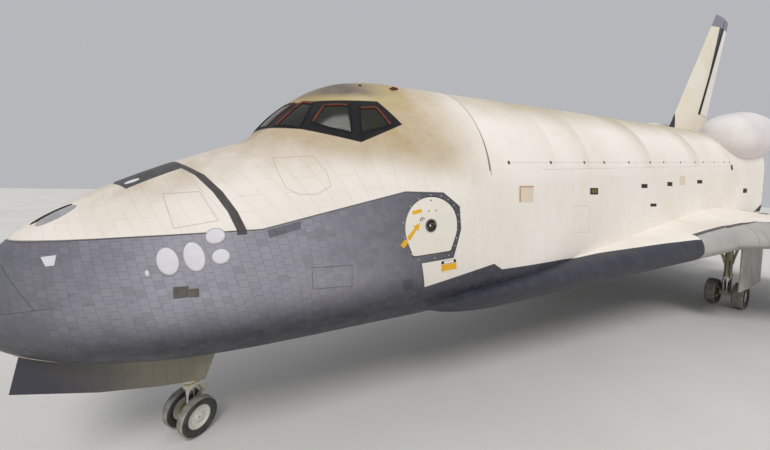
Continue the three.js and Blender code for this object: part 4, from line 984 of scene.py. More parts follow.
# Width of the dark tiles along the edge of the strake, by station.
STRAKE_DARK = [(8.7, 2.4), (11.0, 2.4), (11.49, 0.60), (13.23, 0.55), (14.708, 0.35), (16.444, 0.18), (17.245, 0.13),
               (17.6, 0.10), (17.7, -20.0)]
WINDOW_FRONT = 4.1
WINDOW_SILL = [(4.00, 4.29), (4.424, 4.320), (4.938, 4.261), (5.937, 3.991), (6.817, 4.359)]
WINDOW_TOP = 4.862
WINDOW_REAR = [(6.817, 4.359), (6.477, 4.862)]
# Thin joint lines on the white skin and on the tiles, as outlines of station and height.
WHITE_JOINTS = [[(2.653, 3.126), (3.166, 3.145), (3.384, 2.687), (2.785, 2.606)],
                [(4.367, 3.703), (4.399, 3.441), (4.469, 3.159), (4.674, 3.031),
                 (4.978, 3.035), (5.232, 3.168), (5.221, 3.405), (5.063, 3.731)],
                [(12.09, 2.361), (12.952, 2.299), (13.027, 1.523), (12.148, 1.624)]]
JOINT_HALF = 0.007
DARK_PATCHES = [[(6.445, 1.300), (6.658, 1.304), (6.707, 1.070), (6.491, 1.068)],
                [(4.07, 2.49), (4.62, 2.60), (4.60, 2.47), (4.10, 2.36)],
                [(9.35, 0.92), (10.15, 0.88), (10.25, 0.64), (9.42, 0.66)]]
# Lines on the tiles behind the nose cap, and the dark wedge low on the aft side.
CAP_LINE = [(0.663, 2.192), (1.087, 1.602)]
LEVEL_LINE = [(0.693, 1.547), (1.314, 1.619)]
AFT_WEDGE = [(31.94, 0.58), (33.2, 0.58), (33.2, 1.28)]


def coating(name):
    """A colour of the coating settings as 0 to 255 display values."""
    return tuple(255 * c for c in getattr(bpy.context.scene.orbiter_coating, name))


def tile_colour(paint, tone, gap, base=None, deep=None, contrast=1.0):
    """Dark tiles, pale and worn forward and high on the side, whose tone changes from tile to tile."""
    base, deep = base or coating("tile"), deep or coating("deep_tile")
    s, _, h = paint.body()
    patches = paint.noise(0.55, 4.0, roughness=0.6)
    fine = paint.noise(7.0, 5.0, roughness=0.65)
    worn = (s.ease(8.2, 3.8, 0.06) * h.ease(0.75, 1.62) * s.ramp(0.4, 2.6, 0.25) * h.ramp(2.2, 3.0, 1.0, 0.86)
            * patches.ramp(0.30, 0.66, 0.65))
    colour = paint.mix(worn, deep, base)
    colour = paint.mix(tone * (0.24 * contrast) * (worn * 0.7 + 0.3), colour, (172, 168, 170))
    colour = paint.mix(tone.ramp(0.86, 0.88, 0.0, 0.20 * contrast), colour, (66, 66, 76))
    colour = paint.mix(fine.ramp(0.60, 0.80, 0.0, 0.45) * (worn * 0.85 + 0.15), colour, (164, 158, 152))
    colour = paint.mix(fine.ramp(0.42, 0.24, 0.0, 0.30), colour, (56, 56, 66))
    return paint.mix(gap * 0.42, colour, (44, 45, 54))


def white_colour(paint, tone, gap, gap_depth=0.25):
    """Warm white coating with faint blanket or tile joints and light staining."""
    patches = paint.noise(0.35, 4.0)
    drift = paint.noise(2.6, 5.0, roughness=0.6)
    colour = paint.mix(patches.ease(0.35, 0.7), coating("white"), (236, 227, 215))
    colour = paint.mix(tone * 0.10, colour, (214, 204, 190))
    colour = paint.mix(drift.ramp(0.58, 0.78, 0.0, 0.20), colour, (208, 194, 170))
    return paint.mix(gap * gap_depth * drift.ramp(0.30, 0.62, 0.25), colour, SEAM)


def dark_field(paint, s, y, h):
    """Signed distance into the dark tiles: below the rim line, low on the side and round the hatch."""
    rim = paint.least(paint.polyline(s, RIM_LINE) - h, -paint.left_of(s, h, *RIM_END))
    low = paint.least(paint.polyline(s, LOW_LINE) - h, s - 6.2)
    return paint.most(rim, low, paint.least(paint.polygon(s, h, HATCH_SURROUND), -y))


def nose_band(paint, s, side, h):
    """Signed distance into the grey band over the nose and its patch on the top."""
    middle = paint.polyline(h, BAND_LINE) + BAND_WIDTH / 2
    band = paint.least(BAND_WIDTH / 2 - abs(s - middle), h - BAND_LOW_H)
    return paint.most(band, paint.least(paint.polygon(s, side, BAND_TOP_PATCH), h - BAND_TOP_LOW_H))


def window_frame(paint, s, h):
    """Signed distance into the black frame round the panes."""
    return paint.least(h - paint.polyline(s, WINDOW_SILL), WINDOW_TOP - h, paint.left_of(s, h, *WINDOW_REAR),
                       s - WINDOW_FRONT)


def stained_white(paint, s, side, h, white):
    """The white coating with grime behind and below the panes, and smudges on the cabin roof and the crown."""
    cloud = paint.noise(1.1, 5.0, roughness=0.55)
    grain = paint.noise(5.0, 5.0, roughness=0.6, stretch=(0.5, 1.0, 1.6))
    behind = s.ease(4.4, 6.3) * s.ease(9.3, 6.9) * (s * 0.22 + h).ease(4.65, 5.40)
    below = s.ease(2.6, 4.9) * s.ease(8.2, 6.2) * (h - s * 0.10).ease(2.55, 3.75)
    sill = s.ease(3.5, 4.2) * s.ease(8.0, 6.4) * (paint.polyline(s, WINDOW_SILL) - h).ease(0.75, 0.05)
    grime = paint.most(behind, below * 0.66, sill) * cloud.ramp(0.25, 0.65, 0.55)
    white = paint.mix(grime * 0.95, white, coating("dirt"))
    white = paint.mix(grime * grain.ramp(0.56, 0.78, 0.0, 0.35), white, (140, 116, 78))
    tan = s.ease(3.9, 4.5) * s.ease(7.6, 6.6) * h.ease(4.55, 4.85) * cloud.ramp(0.2, 0.6, 0.6)
    white = paint.mix(tan * 0.8, white, (184, 166, 108))
    roof = s.ease(4.5, 5.1) * s.ease(7.0, 6.0) * h.ease(4.90, 5.10) * cloud.ramp(0.15, 0.38)
    white = paint.mix(roof * 0.92, white, (82, 78, 84))
    seam = (s - (BAY_FRONT - 0.01)).near(0.012) * (h > SILL_H)
    white = paint.mix(seam * 0.75, white, (70, 66, 62))
    crown = side.ease(1.9, 0.7) * h.ramp(2.4, 3.2) * cloud.ramp(0.34, 0.66, 0.1, 0.6)
    return paint.mix(crown, white, (164, 142, 106))


def fuselage_paint():
    """White upper body over dark tiles, with the dark fields at the hatch, the windows and the nose."""
    paint = Paint("fuselage_skin")
    s, y, h = paint.body()
    side = abs(y)
    run, _, below_rim = paint.skin_lengths()
    tone, gap = paint.tiles(below_rim, run + s.ramp(3.5, 6.5, 0.22, 0.0) * h, 0.112, 0.135, 0.0034)
    gap = gap * s.ramp(4.4, 6.2, 1.0, 0.25)
    white_tone, white_gap = paint.tiles(below_rim, run + s.ramp(3.5, 6.5, 0.50, 0.06) * h, 0.61, 0.205, 0.0032)
    white = white_colour(paint, white_tone, white_gap * s.ramp(8.0, 8.8, 1.0, 0.3), 0.34)
    joints = paint.most(*[paint.polygon(s, h, outline).near(JOINT_HALF) for outline in WHITE_JOINTS])
    white = stained_white(paint, s, side, h, paint.mix(joints * 0.34, white, (96, 88, 76)))

    tile = tile_colour(paint, tone, gap)
    for outline in DARK_PATCHES:
        tile = paint.mix((paint.polygon(s, h, outline) > 0.0) * 0.55, tile, (52, 53, 62))
    cap_line = paint.left_of(s, h, *CAP_LINE).near(0.006) * (s > 0.62) * (h > 1.60) * (h < 2.2)
    level_line = paint.left_of(s, h, *LEVEL_LINE).near(0.006) * (s < 1.32)
    tile = paint.mix(paint.most(cap_line, level_line) * 0.6, tile, (48, 49, 58))

    dark = dark_field(paint, s, y, h)
    colour = paint.mix(dark > 0.0, white, tile)
    colour = paint.mix(dark.near(0.011) * 0.75, colour, (40, 40, 46))
    band = nose_band(paint, s, side, h)
    grey = tile_colour(paint, tone, gap, (76, 74, 71), (60, 59, 58), 0.3)
    colour = paint.mix(band > 0.0, colour, grey)
    colour = paint.mix(band.near(0.007) * 0.5, colour, (60, 58, 56))
    frame = window_frame(paint, s, h)
    black = paint.mix(paint.noise(6.0).ramp(0.35, 0.65), (15, 13, 15), (30, 26, 28))
    colour = paint.mix(frame > 0.0, colour, black)
    colour = paint.mix(frame.near(0.008) * 0.6, colour, (26, 24, 24))
    colour = paint.mix(paint.polygon(s, h, AFT_WEDGE) > 0.0, colour, (46, 40, 50))
    colour = paint.mix(s > BASE_S - 0.03, colour, (70, 68, 66))
    paint.bump(paint.noise(22.0, 2.0) * 0.25 - gap * (dark > 0.0), 0.35, 0.004)
    return paint.done(colour, paint.noise(3.0).ramp(0.3, 0.7, 0.40, 0.60))


def door_paint():
    """Payload bay door: felt outside with panel joints, and painted shade of soft folds before each groove."""
    paint = Paint("door_felt")
    s, _, h = paint.body()
    run, girth, _ = paint.skin_lengths()
    tone, gap = paint.tiles(girth, run, 0.92, 0.66, 0.003)
    white = white_colour(paint, tone, gap, 0.14)
    streak = paint.noise(1.1, 4.0, stretch=(1.0, 1.0, 0.12))
    white = paint.mix(streak.ramp(0.55, 0.75, 0.0, 0.2), white, (203, 190, 160))
    top = h.ease(4.45, 5.35) * paint.noise(0.5, 5.0).ramp(0.25, 0.7, 0.5)
    white = paint.mix(top * 0.72, white, (166, 150, 104))
    # Painted shade: the white turns darker tan just before each groove, as if soft folds lay in shade there.
    fold_shade = paint.most(*[s.ease(groove - 1.7, groove) * (s < groove) for groove in DOOR_GROOVES])
    fold_shade = fold_shade * h.ramp(3.5, 4.5, 0.12, 0.42) * s.ramp(10.0, 17.0, 0.25)
    white = paint.mix(fold_shade, white, (182, 166, 128))
    lip = (s - (BAY_FRONT + 0.018)).near(0.018)
    white = paint.mix(lip * 0.75, white, (70, 66, 62))
    hinge = (h - HINGE_LINE_H).near(0.009) * (s > HINGE_DOTS[0])
    white = paint.mix(hinge * 0.26, white, (110, 104, 96))
    paint.bump(-gap, 0.2, 0.003)
    return paint.done(white, streak.ramp(0.3, 0.7, 0.45, 0.62))


def wing_paint():
    """White felt above, dark tiles below and round the leading edge of the strake."""
    paint = Paint("wing_skin")
    s, y, h = paint.body()
    side = abs(y)
    normal = paint.split(paint.node("ShaderNodeNewGeometry").outputs["Normal"])
    tone, gap = paint.tiles(h * 0.8 + side, s, 0.155, 0.205, 0.0038)
    felt_tone, felt_gap = paint.tiles(s, side, 0.9, 0.62, 0.003)
    edge = [(wing["le"], wing["y"]) for wing in (WING_ROOT, WING_KINK)]
    strake = paint.left_of(s, side, *edge) + paint.polyline(s, STRAKE_DARK)
    scallop = abs(paint.math("SINE", side * 2.8))
    band = (scallop * -0.05 + (paint.polyline(s, EDGE_REGION[1:9]) - side) < 0.075) * (s > 17.5)
    dark = paint.most(strake > 0.0, normal[2] < 0.0)
    grime = paint.noise(0.9, 5.0, roughness=0.6).ramp(0.42, 0.72, 0.0, 0.35)
    white = paint.mix(grime, white_colour(paint, felt_tone, felt_gap, 0.14), (214, 200, 176))
    colour = paint.mix(dark, white, tile_colour(paint, tone, gap, contrast=0.5))
    colour = paint.mix(band, colour, (88, 82, 80))
    paint.bump(-(gap * dark), 0.3, 0.004)
    return paint.done(colour, 0.55)


def simple_paint(name, colour, second, scale, roughness, metallic=0.0, amount=0.5, bump=0.0, bump_scale=40.0):
    """A finish that drifts between two tones, or into a darker tone of one colour, with fine grain."""
    paint = Paint(name, roughness, metallic)
    second = tuple(int(c * 0.82) for c in colour) if second is None else second
    mixed = paint.mix(paint.noise(scale, 5.0, roughness=0.6).ramp(0.35, 0.7, 0.0, amount), colour, second)
    grain = paint.noise(bump_scale, 3.0)
    if bump:
        paint.bump(grain, bump, 0.003)
    return paint.done(mixed, grain.ramp(0.3, 0.7, max(roughness - 0.08, 0.02), min(roughness + 0.08, 1.0)))


def glass_paint():
    """Clear, slightly green glass with a weak reflection."""
    paint = Paint("pane_glass", 0.10)
    for key, value in (("Transmission Weight", 0.9), ("Specular IOR Level", 0.12), ("IOR", 1.45)):
        paint.shader.inputs[key].default_value = value
    return paint.done(paint.mix(paint.noise(1.2), (132, 132, 112), (92, 94, 80)))


def nozzle_paint():
    """Heat stained metal bell with fine rings."""
    paint = Paint("nozzle_metal", 0.38, 0.85)
    bands = paint.noise(3.0, 3.0, stretch=(6.0, 0.6, 0.6))
    paint.bump(bands, 0.25, 0.01)
    return paint.done(paint.mix(bands.ramp(0.35, 0.65), (96, 92, 90), (140, 130, 118)))


def tyre_paint():
    """Pale weathered rubber with fine grain."""
    paint = Paint("tyre_rubber", 0.8)
    paint.bump(paint.noise(60.0, 2.0), 0.15, 0.002)
    return paint.done(paint.mix(paint.noise(7.0, 5.0).ramp(0.35, 0.7), (132, 130, 122), (176, 174, 164)))


TAIL_TIP = (134, 130, 142)


def tail_white(name):
    """The paint of a tail piece with its station, its height, its white coating and its roughness."""
    paint = Paint(name)
    s, _, h = paint.body()
    white = white_colour(paint, *paint.tiles(s, h, 0.33, 0.41, 0.004))
    return paint, s, h, white, paint.noise(4.0).ramp(0.3, 0.7, 0.42, 0.58)


def fin_paint():
    """White fin with a dark foot to its leading edge, a dark band before the hinge and a grey tip."""
    paint, s, h, white, rough = tail_white("fin_skin")
    white = paint.mix(paint.noise(0.5, 4.0).ramp(0.3, 0.7, 0.15, 0.6), white, (226, 214, 176))
    foot = paint.polygon(s, h, [(26.2, 5.4), (27.75, 5.4), (27.95, 6.1), (28.3, 7.2), (27.2, 7.2)])
    tip = -paint.left_of(s, h, (37.5, 13.05), (34.0, 12.75))
    band = paint.least(-paint.left_of(s, h, (32.35, 8.22), (34.95, 13.03)),
                       h - paint.polyline(s, [(32.4, 8.3), (33.2, 7.7), (34.4, 7.2)]))
    colour = paint.mix(band > 0.0, white, (48, 48, 52))
    colour = paint.mix(foot > 0.0, colour, (34, 38, 42))
    return paint.done(paint.mix(tip > 0.0, colour, TAIL_TIP), rough)


def rudder_paint():
    """White rudder and speed brake panels with a dark strip at the hinge and a grey tip."""
    paint, s, h, white, rough = tail_white("rudder_skin")
    colour = paint.mix(paint.left_of(s, h, RUDDER_LOW, RUDDER_TOP) > -0.30, white, (58, 58, 62))
    return paint.done(paint.mix(h > 12.95, colour, TAIL_TIP), rough)


def flap_paint():
    """Dark tiles on the body flap."""
    paint = Paint("flap_tiles", 0.6)
    s, y, _ = paint.body()
    tone, gap = paint.tiles(y, s, 0.152, 0.152, 0.004)
    paint.bump(-gap, 0.3, 0.004)
    return paint.done(tile_colour(paint, tone, gap))


def pod_paint():
    """White pod skin with faint panel joints, and painted shade that turns it a little grey below."""
    paint = Paint("pod_skin", 0.30)
    s, y, h = paint.body()
    tone, gap = paint.tiles(s, y * 0.35 + h, 0.62, 0.41, 0.003)
    white = paint.mix(paint.noise(0.8, 4.0).ramp(0.35, 0.7), (242, 236, 231), (230, 222, 218))
    # Painted shade: the pod turns greyer towards its bottom.
    white = paint.mix(h.ease(5.0, 3.9, 0.0, 0.5), white, (204, 190, 196))
    white = paint.mix(tone * 0.06, white, (206, 198, 192))
    return paint.done(paint.mix(gap * 0.22, white, SEAM))


def nose_door_paint():
    """Dark tiles with a painted sheen that makes them paler and browner aft, and fine upright joints."""
    paint = Paint("nose_door_skin", 0.5)
    s, _, h = paint.body()
    _, gap = paint.tiles(h, s, 0.9, 0.205, 0.0035)
    # Painted sheen: the door turns paler and browner aft and higher up.
    sheen = (h * 0.5 + s).ease(0.9, 2.7) * paint.noise(1.3, 4.0).ramp(0.3, 0.7, 0.6)
    colour = paint.mix(sheen, (62, 61, 70), (150, 144, 124))
    return paint.done(paint.mix(gap * 0.5, colour, (60, 56, 52)))


PATTERNED = {"fuselage": fuselage_paint, "door": door_paint, "wing": wing_paint, "fin": fin_paint,
             "rudder": rudder_paint, "glass": glass_paint, "nozzle": nozzle_paint, "tyre": tyre_paint,
             "pod": pod_paint, "tile": flap_paint, "nose_door": nose_door_paint}
# Finishes of two tones: name, first and second colour, size of the drift and roughness; then what else they need.
PLAIN = {
    "cap": ("nose_cap_grey", (74, 76, 84), None, 3.0, 0.55),
    "cover": ("port_cover_white", (222, 220, 223), (208, 205, 208), 5.0, 0.45),
    "hatch": ("hatch_white", (236, 229, 216), (219, 208, 190), 2.2, 0.42),
    "seal": ("window_seal_red", (124, 62, 44), (70, 40, 34), 6.0, 0.7, {"amount": 0.9}),
    "black": ("frame_black", (10, 10, 11), (24, 23, 24), 6.0, 0.6),
    "white": ("coating_white", "white", (221, 210, 190), 1.4, 0.5),
    "edge": ("edge_grey", (178, 175, 168), (156, 154, 149), 1.6, 0.5),
    "gear": ("gear_enamel", (232, 225, 198), (204, 192, 150), 5.0, 0.4),
    "chrome": ("piston_chrome", (205, 206, 208), (170, 170, 172), 8.0, 0.14, {"metallic": 1.0}),
    "hub": ("wheel_enamel", (224, 222, 212), (196, 190, 172), 8.0, 0.35),
    "liner": ("bay_liner", (206, 204, 196), (186, 182, 170), 0.8, 0.7, {"bump": 0.3, "bump_scale": 3.0}),
    "radiator": ("radiator_silver", (206, 208, 210), (176, 178, 180), 0.6, 0.3, {"metallic": 0.5}),
    "frame_green": ("frame_primer", (176, 172, 140), (150, 148, 118), 2.0, 0.6),
    "interior": ("cabin_grey", (110, 114, 116), None, 3.0, 0.7),
    "door_inner": ("gear_door_inner", (190, 186, 174), (150, 146, 132), 2.0, 0.5),
    "dark": ("dark_grey", (44, 46, 50), None, 3.0, 0.6),
    "shade": ("window_blind", (176, 172, 132), (118, 118, 92), 4.0, 0.7, {"amount": 0.9}),
    "base_tile": ("base_shield_tile", (74, 70, 66), (52, 50, 50), 5.0, 0.7, {"amount": 0.9, "bump": 0.2}),
    "brass": ("brake_brass", (150, 134, 78), (96, 86, 52), 9.0, 0.45, {"metallic": 0.4, "amount": 0.9}),
    "sidewall": ("tyre_wall", (52, 51, 50), (92, 89, 82), 6.0, 0.75, {"amount": 0.8}),
    "main_door": ("main_door_grey", (176, 172, 164), (132, 128, 120), 1.8, 0.5, {"amount": 0.9}),
    "patch": ("patch_brown", (104, 98, 92), (78, 72, 68), 9.0, 0.6, {"amount": 0.8}),
    "cover_grey": ("nose_cover_grey", (168, 166, 166), (140, 138, 138), 6.0, 0.35, {"amount": 0.8}),
    "olive": ("vent_olive", (110, 104, 44), (72, 70, 34), 9.0, 0.6, {"amount": 0.8}),
    # The cabin wall is near black as painted shade inside the cabin.
    "cabin": ("cabin_wall", (30, 31, 31), (20, 21, 21), 2.5, 0.8, {"amount": 0.9}),
    "orange": ("marker_orange", (236, 180, 24), (214, 150, 30), 9.0, 0.5),
    "beige": ("panel_beige", (228, 212, 188), (216, 198, 170), 5.0, 0.55),
    "tan": ("recess_tan", (186, 152, 116), (164, 132, 98), 7.0, 0.6),
}
FINISHES = {}


def finish(word):
    """The finish of that word, made the first time it is asked for."""
    if word not in FINISHES:
        if word in PATTERNED:
            FINISHES[word] = PATTERNED[word]()
        else:
            name, colour, second, scale, roughness, *more = PLAIN[word]
            colour = coating(colour) if isinstance(colour, str) else colour
            FINISHES[word] = simple_paint(name, colour, second, scale, roughness, **(more[0] if more else {}))
    return FINISHES[word]


def lofted(name, rings):
    """A closed object through rings of body frame points."""
    return mesh_object(name, to_row(rings).reshape(-1, 3), ring_faces(len(rings), rings.shape[1]))


def skin_solid(name, stations, around, lift=0.0):
    """The fuselage from its first to its last station, as one closed solid."""
    phi = np.linspace(0, 2 * math.pi, around, endpoint=False)
    return lofted(name, skin_points(np.asarray(stations)[:, None], phi[None, :], lift))


def shell(name, s_range, phi_range, lifts, counts):
    """A curved slab of the skin between two lifts, over a range of stations and angles."""
    s = np.linspace(*s_range, counts[0])
    phi = np.linspace(*phi_range, counts[1])
    outer = skin_points(s[:, None], phi[None, :], lifts[1])
    inner = skin_points(s[:, None], phi[None, ::-1], lifts[0])
    return lofted(name, np.concatenate([outer, inner], axis=1))


def steps(*parts):
    """Stations from (start, end, count) runs, with shared ends kept once."""
    out = [parts[0][0]]
    for start, end, count in parts:
        out += [start + (end - start) * (k + 1) / count for k in range(count)]
    return out


def inner_faces(obj, look, s_range, depth, top=9.0):
    """Gives the faces deeper than depth below the skin, and lower than top, their own finish."""
    mesh = obj.data
    mesh.materials.append(finish(look))
    s, y, h = to_body(vectors_of(mesh.polygons, "center")).T
    rise = h - waist(np.clip(s, 0, BASE_S))
    inside = np.hypot(y, rise) < skin_radius(s, np.arctan2(rise, y)) - depth
    chosen = inside & (s > s_range[0]) & (s < s_range[1]) & (h < top)
    slots = np.zeros(len(mesh.polygons), np.int32)
    mesh.polygons.foreach_get("material_index", slots)
    slots[chosen & (slots == 0)] = len(mesh.materials) - 1
    mesh.polygons.foreach_set("material_index", slots)


def dressed(obj, material):
    """The object with one material and no other."""
    obj.data.materials.clear()
    obj.data.materials.append(material)
    shade(obj)
    return obj


# Thruster covers as s, h, half size along s and half size along h.
COVERS = [
    (2.681, 2.142, 0.138, 0.200),
    (3.024, 2.176, 0.138, 0.218),
    (3.326, 2.453, 0.136, 0.112),
    (3.378, 2.146, 0.123, 0.112),
    (2.420, 1.996, 0.027, 0.048),
]
# Plates on the skin: name, finish, sides, thickness and outline as station and height.
NOSE_PLATES = [
    ("air_data_plate", "cover", BOTH, 0.006, [(1.154, 2.297), (1.343, 2.319), (1.326, 2.182), (1.224, 2.172)]),
    ("patched_tiles_fore", "patch", (-1,), 0.004, [(2.724, 1.769), (2.922, 1.757), (2.916, 1.592), (2.719, 1.600)]),
    ("patched_tiles_aft", "patch", (-1,), 0.004, [(2.926, 1.713), (3.053, 1.711), (3.044, 1.576), (2.920, 1.590)]),
    ("marker_plate", "orange", (-1,), 0.004, [(7.350, 1.480), (7.739, 1.470), (7.767, 1.331), (7.365, 1.334)]),
    ("marker_plate_head", "black", (-1,), 0.004, [(7.342, 1.552), (7.722, 1.548), (7.737, 1.482), (7.350, 1.492)]),
    ("marker_plate_strip", "white", (-1,), 0.006, [(7.405, 1.545), (7.660, 1.543), (7.672, 1.492), (7.412, 1.498)]),
    ("marker_arrow_tail", "orange", (-1,), 0.004, [(6.388, 2.001), (6.465, 1.934), (6.567, 2.042), (6.497, 2.114)]),
]
# Covers and slits on the upper nose: station, distance from the middle, half length and half width.
PORTS = [("cover_grey", 1.235, 0.570, 0.262, 0.112), ("black", 1.150, 0.440, 0.275, 0.066),
         ("cover", 2.208, 0.590, 0.110, 0.050)]
HATCH_STUDS = [(7.137, 2.924), (7.377, 2.897), (7.531, 2.814), (7.659, 2.694), (7.769, 2.489), (7.782, 2.341),
               (7.763, 2.163), (7.729, 1.998), (7.685, 1.843), (7.529, 1.658), (7.176, 1.651), (6.792, 1.673),
               (6.633, 1.805), (6.485, 2.145), (6.483, 2.432), (6.656, 2.720), (6.865, 2.859)]
ACCESS_PANEL = [(4.72, 1.802), (5.422, 1.758), (5.415, 1.370), (4.72, 1.436)]


def skin_marks(rows, body):
    """The plates of a table, one piece a row."""
    for name, look, sides, thickness, outline in rows:
        kit = Kit()
        for side in sides:
            kit.plate(spaced(outline, 0.05), side, thickness, rim=0.004)
        finish_piece(kit.make(name, finish(look)), body)


COVER_LEAN = 0.20


def build_nose_hardware():
    """Thruster covers, sensor plates, markings and fasteners of the forward fuselage."""
    kit, rims = Kit(), Kit()
    for s, h, a, b in COVERS:
        for side in BOTH:
            kit.plate(oval(s, h, a, b, COVER_LEAN), side, 0.014, rim=0.02, rings=6, bulge=0.010)
            rims.bead(side_points(oval(s, h, a + 0.004, b + 0.004, COVER_LEAN, 48), side), 0.010, 0.004)
    finish_piece(kit.make("thruster_covers", finish("cover")), "airframe")
    finish_piece(rims.make("thruster_cover_rims", finish("cover_grey")), "airframe")
    skin_marks(NOSE_PLATES, "airframe")

    for k, (look, s0, y0, half, width) in enumerate(PORTS):
        kit = Kit()
        for side in BOTH:
            t = np.linspace(0, 2 * math.pi, 48, endpoint=False)
            layers = []
            for f, lift in ((0.3, 0.010), (0.7, 0.009), (0.96, 0.006), (1.0, -0.006), (0.4, -0.012)):
                s = s0 + half * f * np.cos(t)
                y = y0 + (s - s0) * 0.20 + width * f * np.sin(t)
                base = place(s, side * y, skin_h(s, y))
                layers.append(base + skin_normals(base) * (lift - 0.001 * (k == 1)))
            kit.loft(layers)
        finish_piece(kit.make(("nose_port_covers", "nose_port_slits", "nose_top_plates")[k], finish(look)), "airframe")

    edge = [side_points(spaced(ACCESS_PANEL, 0.042), side) for side in BOTH]
    studs("access_panel_fasteners", "black", np.concatenate(edge), "airframe", 0.011, 0.003, sides=8)
    studs("hatch_surround_studs", "hub", side_points(HATCH_STUDS), "airframe", 0.013, 0.006)
    roof = [(6.394, y, float(skin_h(6.394, abs(y)))) for y in (-0.984, 0.984)]
    studs("roof_studs", "black", roof, "airframe", 0.04, 0.02)
    kit = Kit()
    for side in BOTH:
        s, y = 7.096, 1.280
        base = np.array([s, side * y, float(skin_h(s, y))])
        n = skin_normals(base)
        kit.loft([base + n * lift + np.array([(0.10, 0, 0), (-0.10, side * 0.07, 0), (-0.10, -side * 0.07, 0)]) * f
                  for lift, f in ((-0.02, 1.0), (0.03, 1.0), (0.05, 0.8))])
    finish_piece(kit.make("roof_aerial_fairings", finish("seal")), "airframe")


MODULE_LOW_H = 2.513
MODULE_OUTLINE = [(0.30, MODULE_LOW_H), (3.690, MODULE_LOW_H), (2.790, 3.700), (2.790, 4.600), (0.30, 4.600)]
MODULE_GAP = 0.003


def module_prism(grow):
    """A cutter round the forward module, widened by grow."""
    outline = [(s + (grow if s > 2 else -0.2 * (grow > 0)), h - (grow if h == MODULE_LOW_H else 0))
               for s, h in MODULE_OUTLINE]
    return prism(outline, -3.2, 3.2)


def hatch_outline(grow):
    """The hatch seen from the side: round above, with sides that lean inward down to a straight foot."""
    r, foot = HATCH_R + grow, HATCH_FOOT + grow
    half = (r - foot * math.sin(HATCH_LEAN)) / math.cos(HATCH_LEAN)
    pts = [(HATCH_S + r * math.cos(t), HATCH_H + r * math.sin(t))
           for t in np.linspace(-HATCH_LEAN, math.pi + HATCH_LEAN, 72)]
    lean, fillet = math.tan(HATCH_LEAN), 0.045
    for side in (-1, 1):
        rise = [(half + (fillet * lean), fillet), (half + 0.1 * fillet, 0.3 * fillet), (half - fillet, 0.0)]
        pts += [(HATCH_S + side * x, HATCH_H - foot + h) for x, h in (rise if side < 0 else rise[::-1])]
    return pts


def build_nose(settings):
    """Nose cap, forward module and forward fuselage with its windows, hatch and wheel well cut."""
    cap = skin_solid("nose_cap_skin", (np.linspace(0, 1, 40) ** 2 * (NOSE_CAP_END - 0.002)), settings.around)
    finish_piece(dressed(cap, finish("cap")), "airframe", ["nose_cap"], skin=True)

    module = skin_solid("forward_module_skin", steps((NOSE_CAP_END + 0.002, 1.0, 16), (1.0, 3.72, 44)),
                        settings.around)
    carve(module, [module_prism(0.0)], "INTERSECT")
    finish_piece(dressed(module, finish("fuselage")), "airframe", ["forward_rcs_module"], skin=True)

    body = skin_solid("forward_skin", steps((NOSE_CAP_END + 0.002, 1.0, 16), (1.0, 4.0, 44), (4.0, 5.9, 52),
                                            (5.9, BAY_FRONT - 0.001, 40)), settings.around)
    cabin = skin_solid("cabin_room", steps((CABIN_FRONT, 6.5, 24), (6.5, CABIN_REAR, 12)), 120, -SKIN)
    carve(cabin, [block(CABIN_FRONT - 1, CABIN_REAR + 1, -4, 4, CABIN_FLOOR_H, 8)], "INTERSECT")
    well = NOSE_WELL
    cutters = [module_prism(MODULE_GAP), cabin,
               block(well["s0"], well["s1"], -well["half"], well["half"], -0.6, well["top"]),
               prism(hatch_outline(0.011), -3.6, -1.2)]
    for corners in PANES.values():
        cutters.append(pane_prism(corners, 0.0, 0.30, 0.42))
        cutters.append(pane_prism(mirrored(corners), 0.0, 0.30, 0.42))
    carve(body, cutters)
    dressed(body, finish("fuselage"))
    # Faces inside the cabin take the near black cabin wall, which is painted shade.
    inner_faces(body, "cabin", (CABIN_FRONT - 0.03, CABIN_REAR + 0.02), 0.02)
    inner_faces(body, "door_inner", (well["s0"] - 0.01, well["s1"] + 0.01), 0.02, top=well["top"] + 0.01)
    inner_faces(body, "liner", (BAY_FRONT - 0.003, BAY_FRONT), -0.01)
    finish_piece(body, "airframe", ["forward_fuselage"], skin=True)
    build_nose_hardware()


# Edges of each pane that carry a red seal, as pairs of corners, and the blinds behind the panes, whose corners
# are given along the lines from the pane's middle to its first and its second corner.
SEALS = {"front": [(1, 2)], "middle": [(0, 3), (3, 2)], "side": [(0, 4), (4, 3)], "rear": [(3, 2), (2, 1)]}
SHADES = {
    "front": [(0.9, 0.5), (0.3, 0.9), (-0.7, 0.1), (-0.5, -0.6)],
    "middle": [(0.1, 0.5), (-0.5, 0.2), (-0.7, -0.3), (-0.1, -0.1)],
    "side": [(0.1, 0.1), (0.06, 0.14), (-0.6, 0.5), (-0.56, 0.46)],
    "rear": [(0.55, 0.15), (0.1, 0.75), (-0.45, -0.1), (0.25, -0.55)],
}


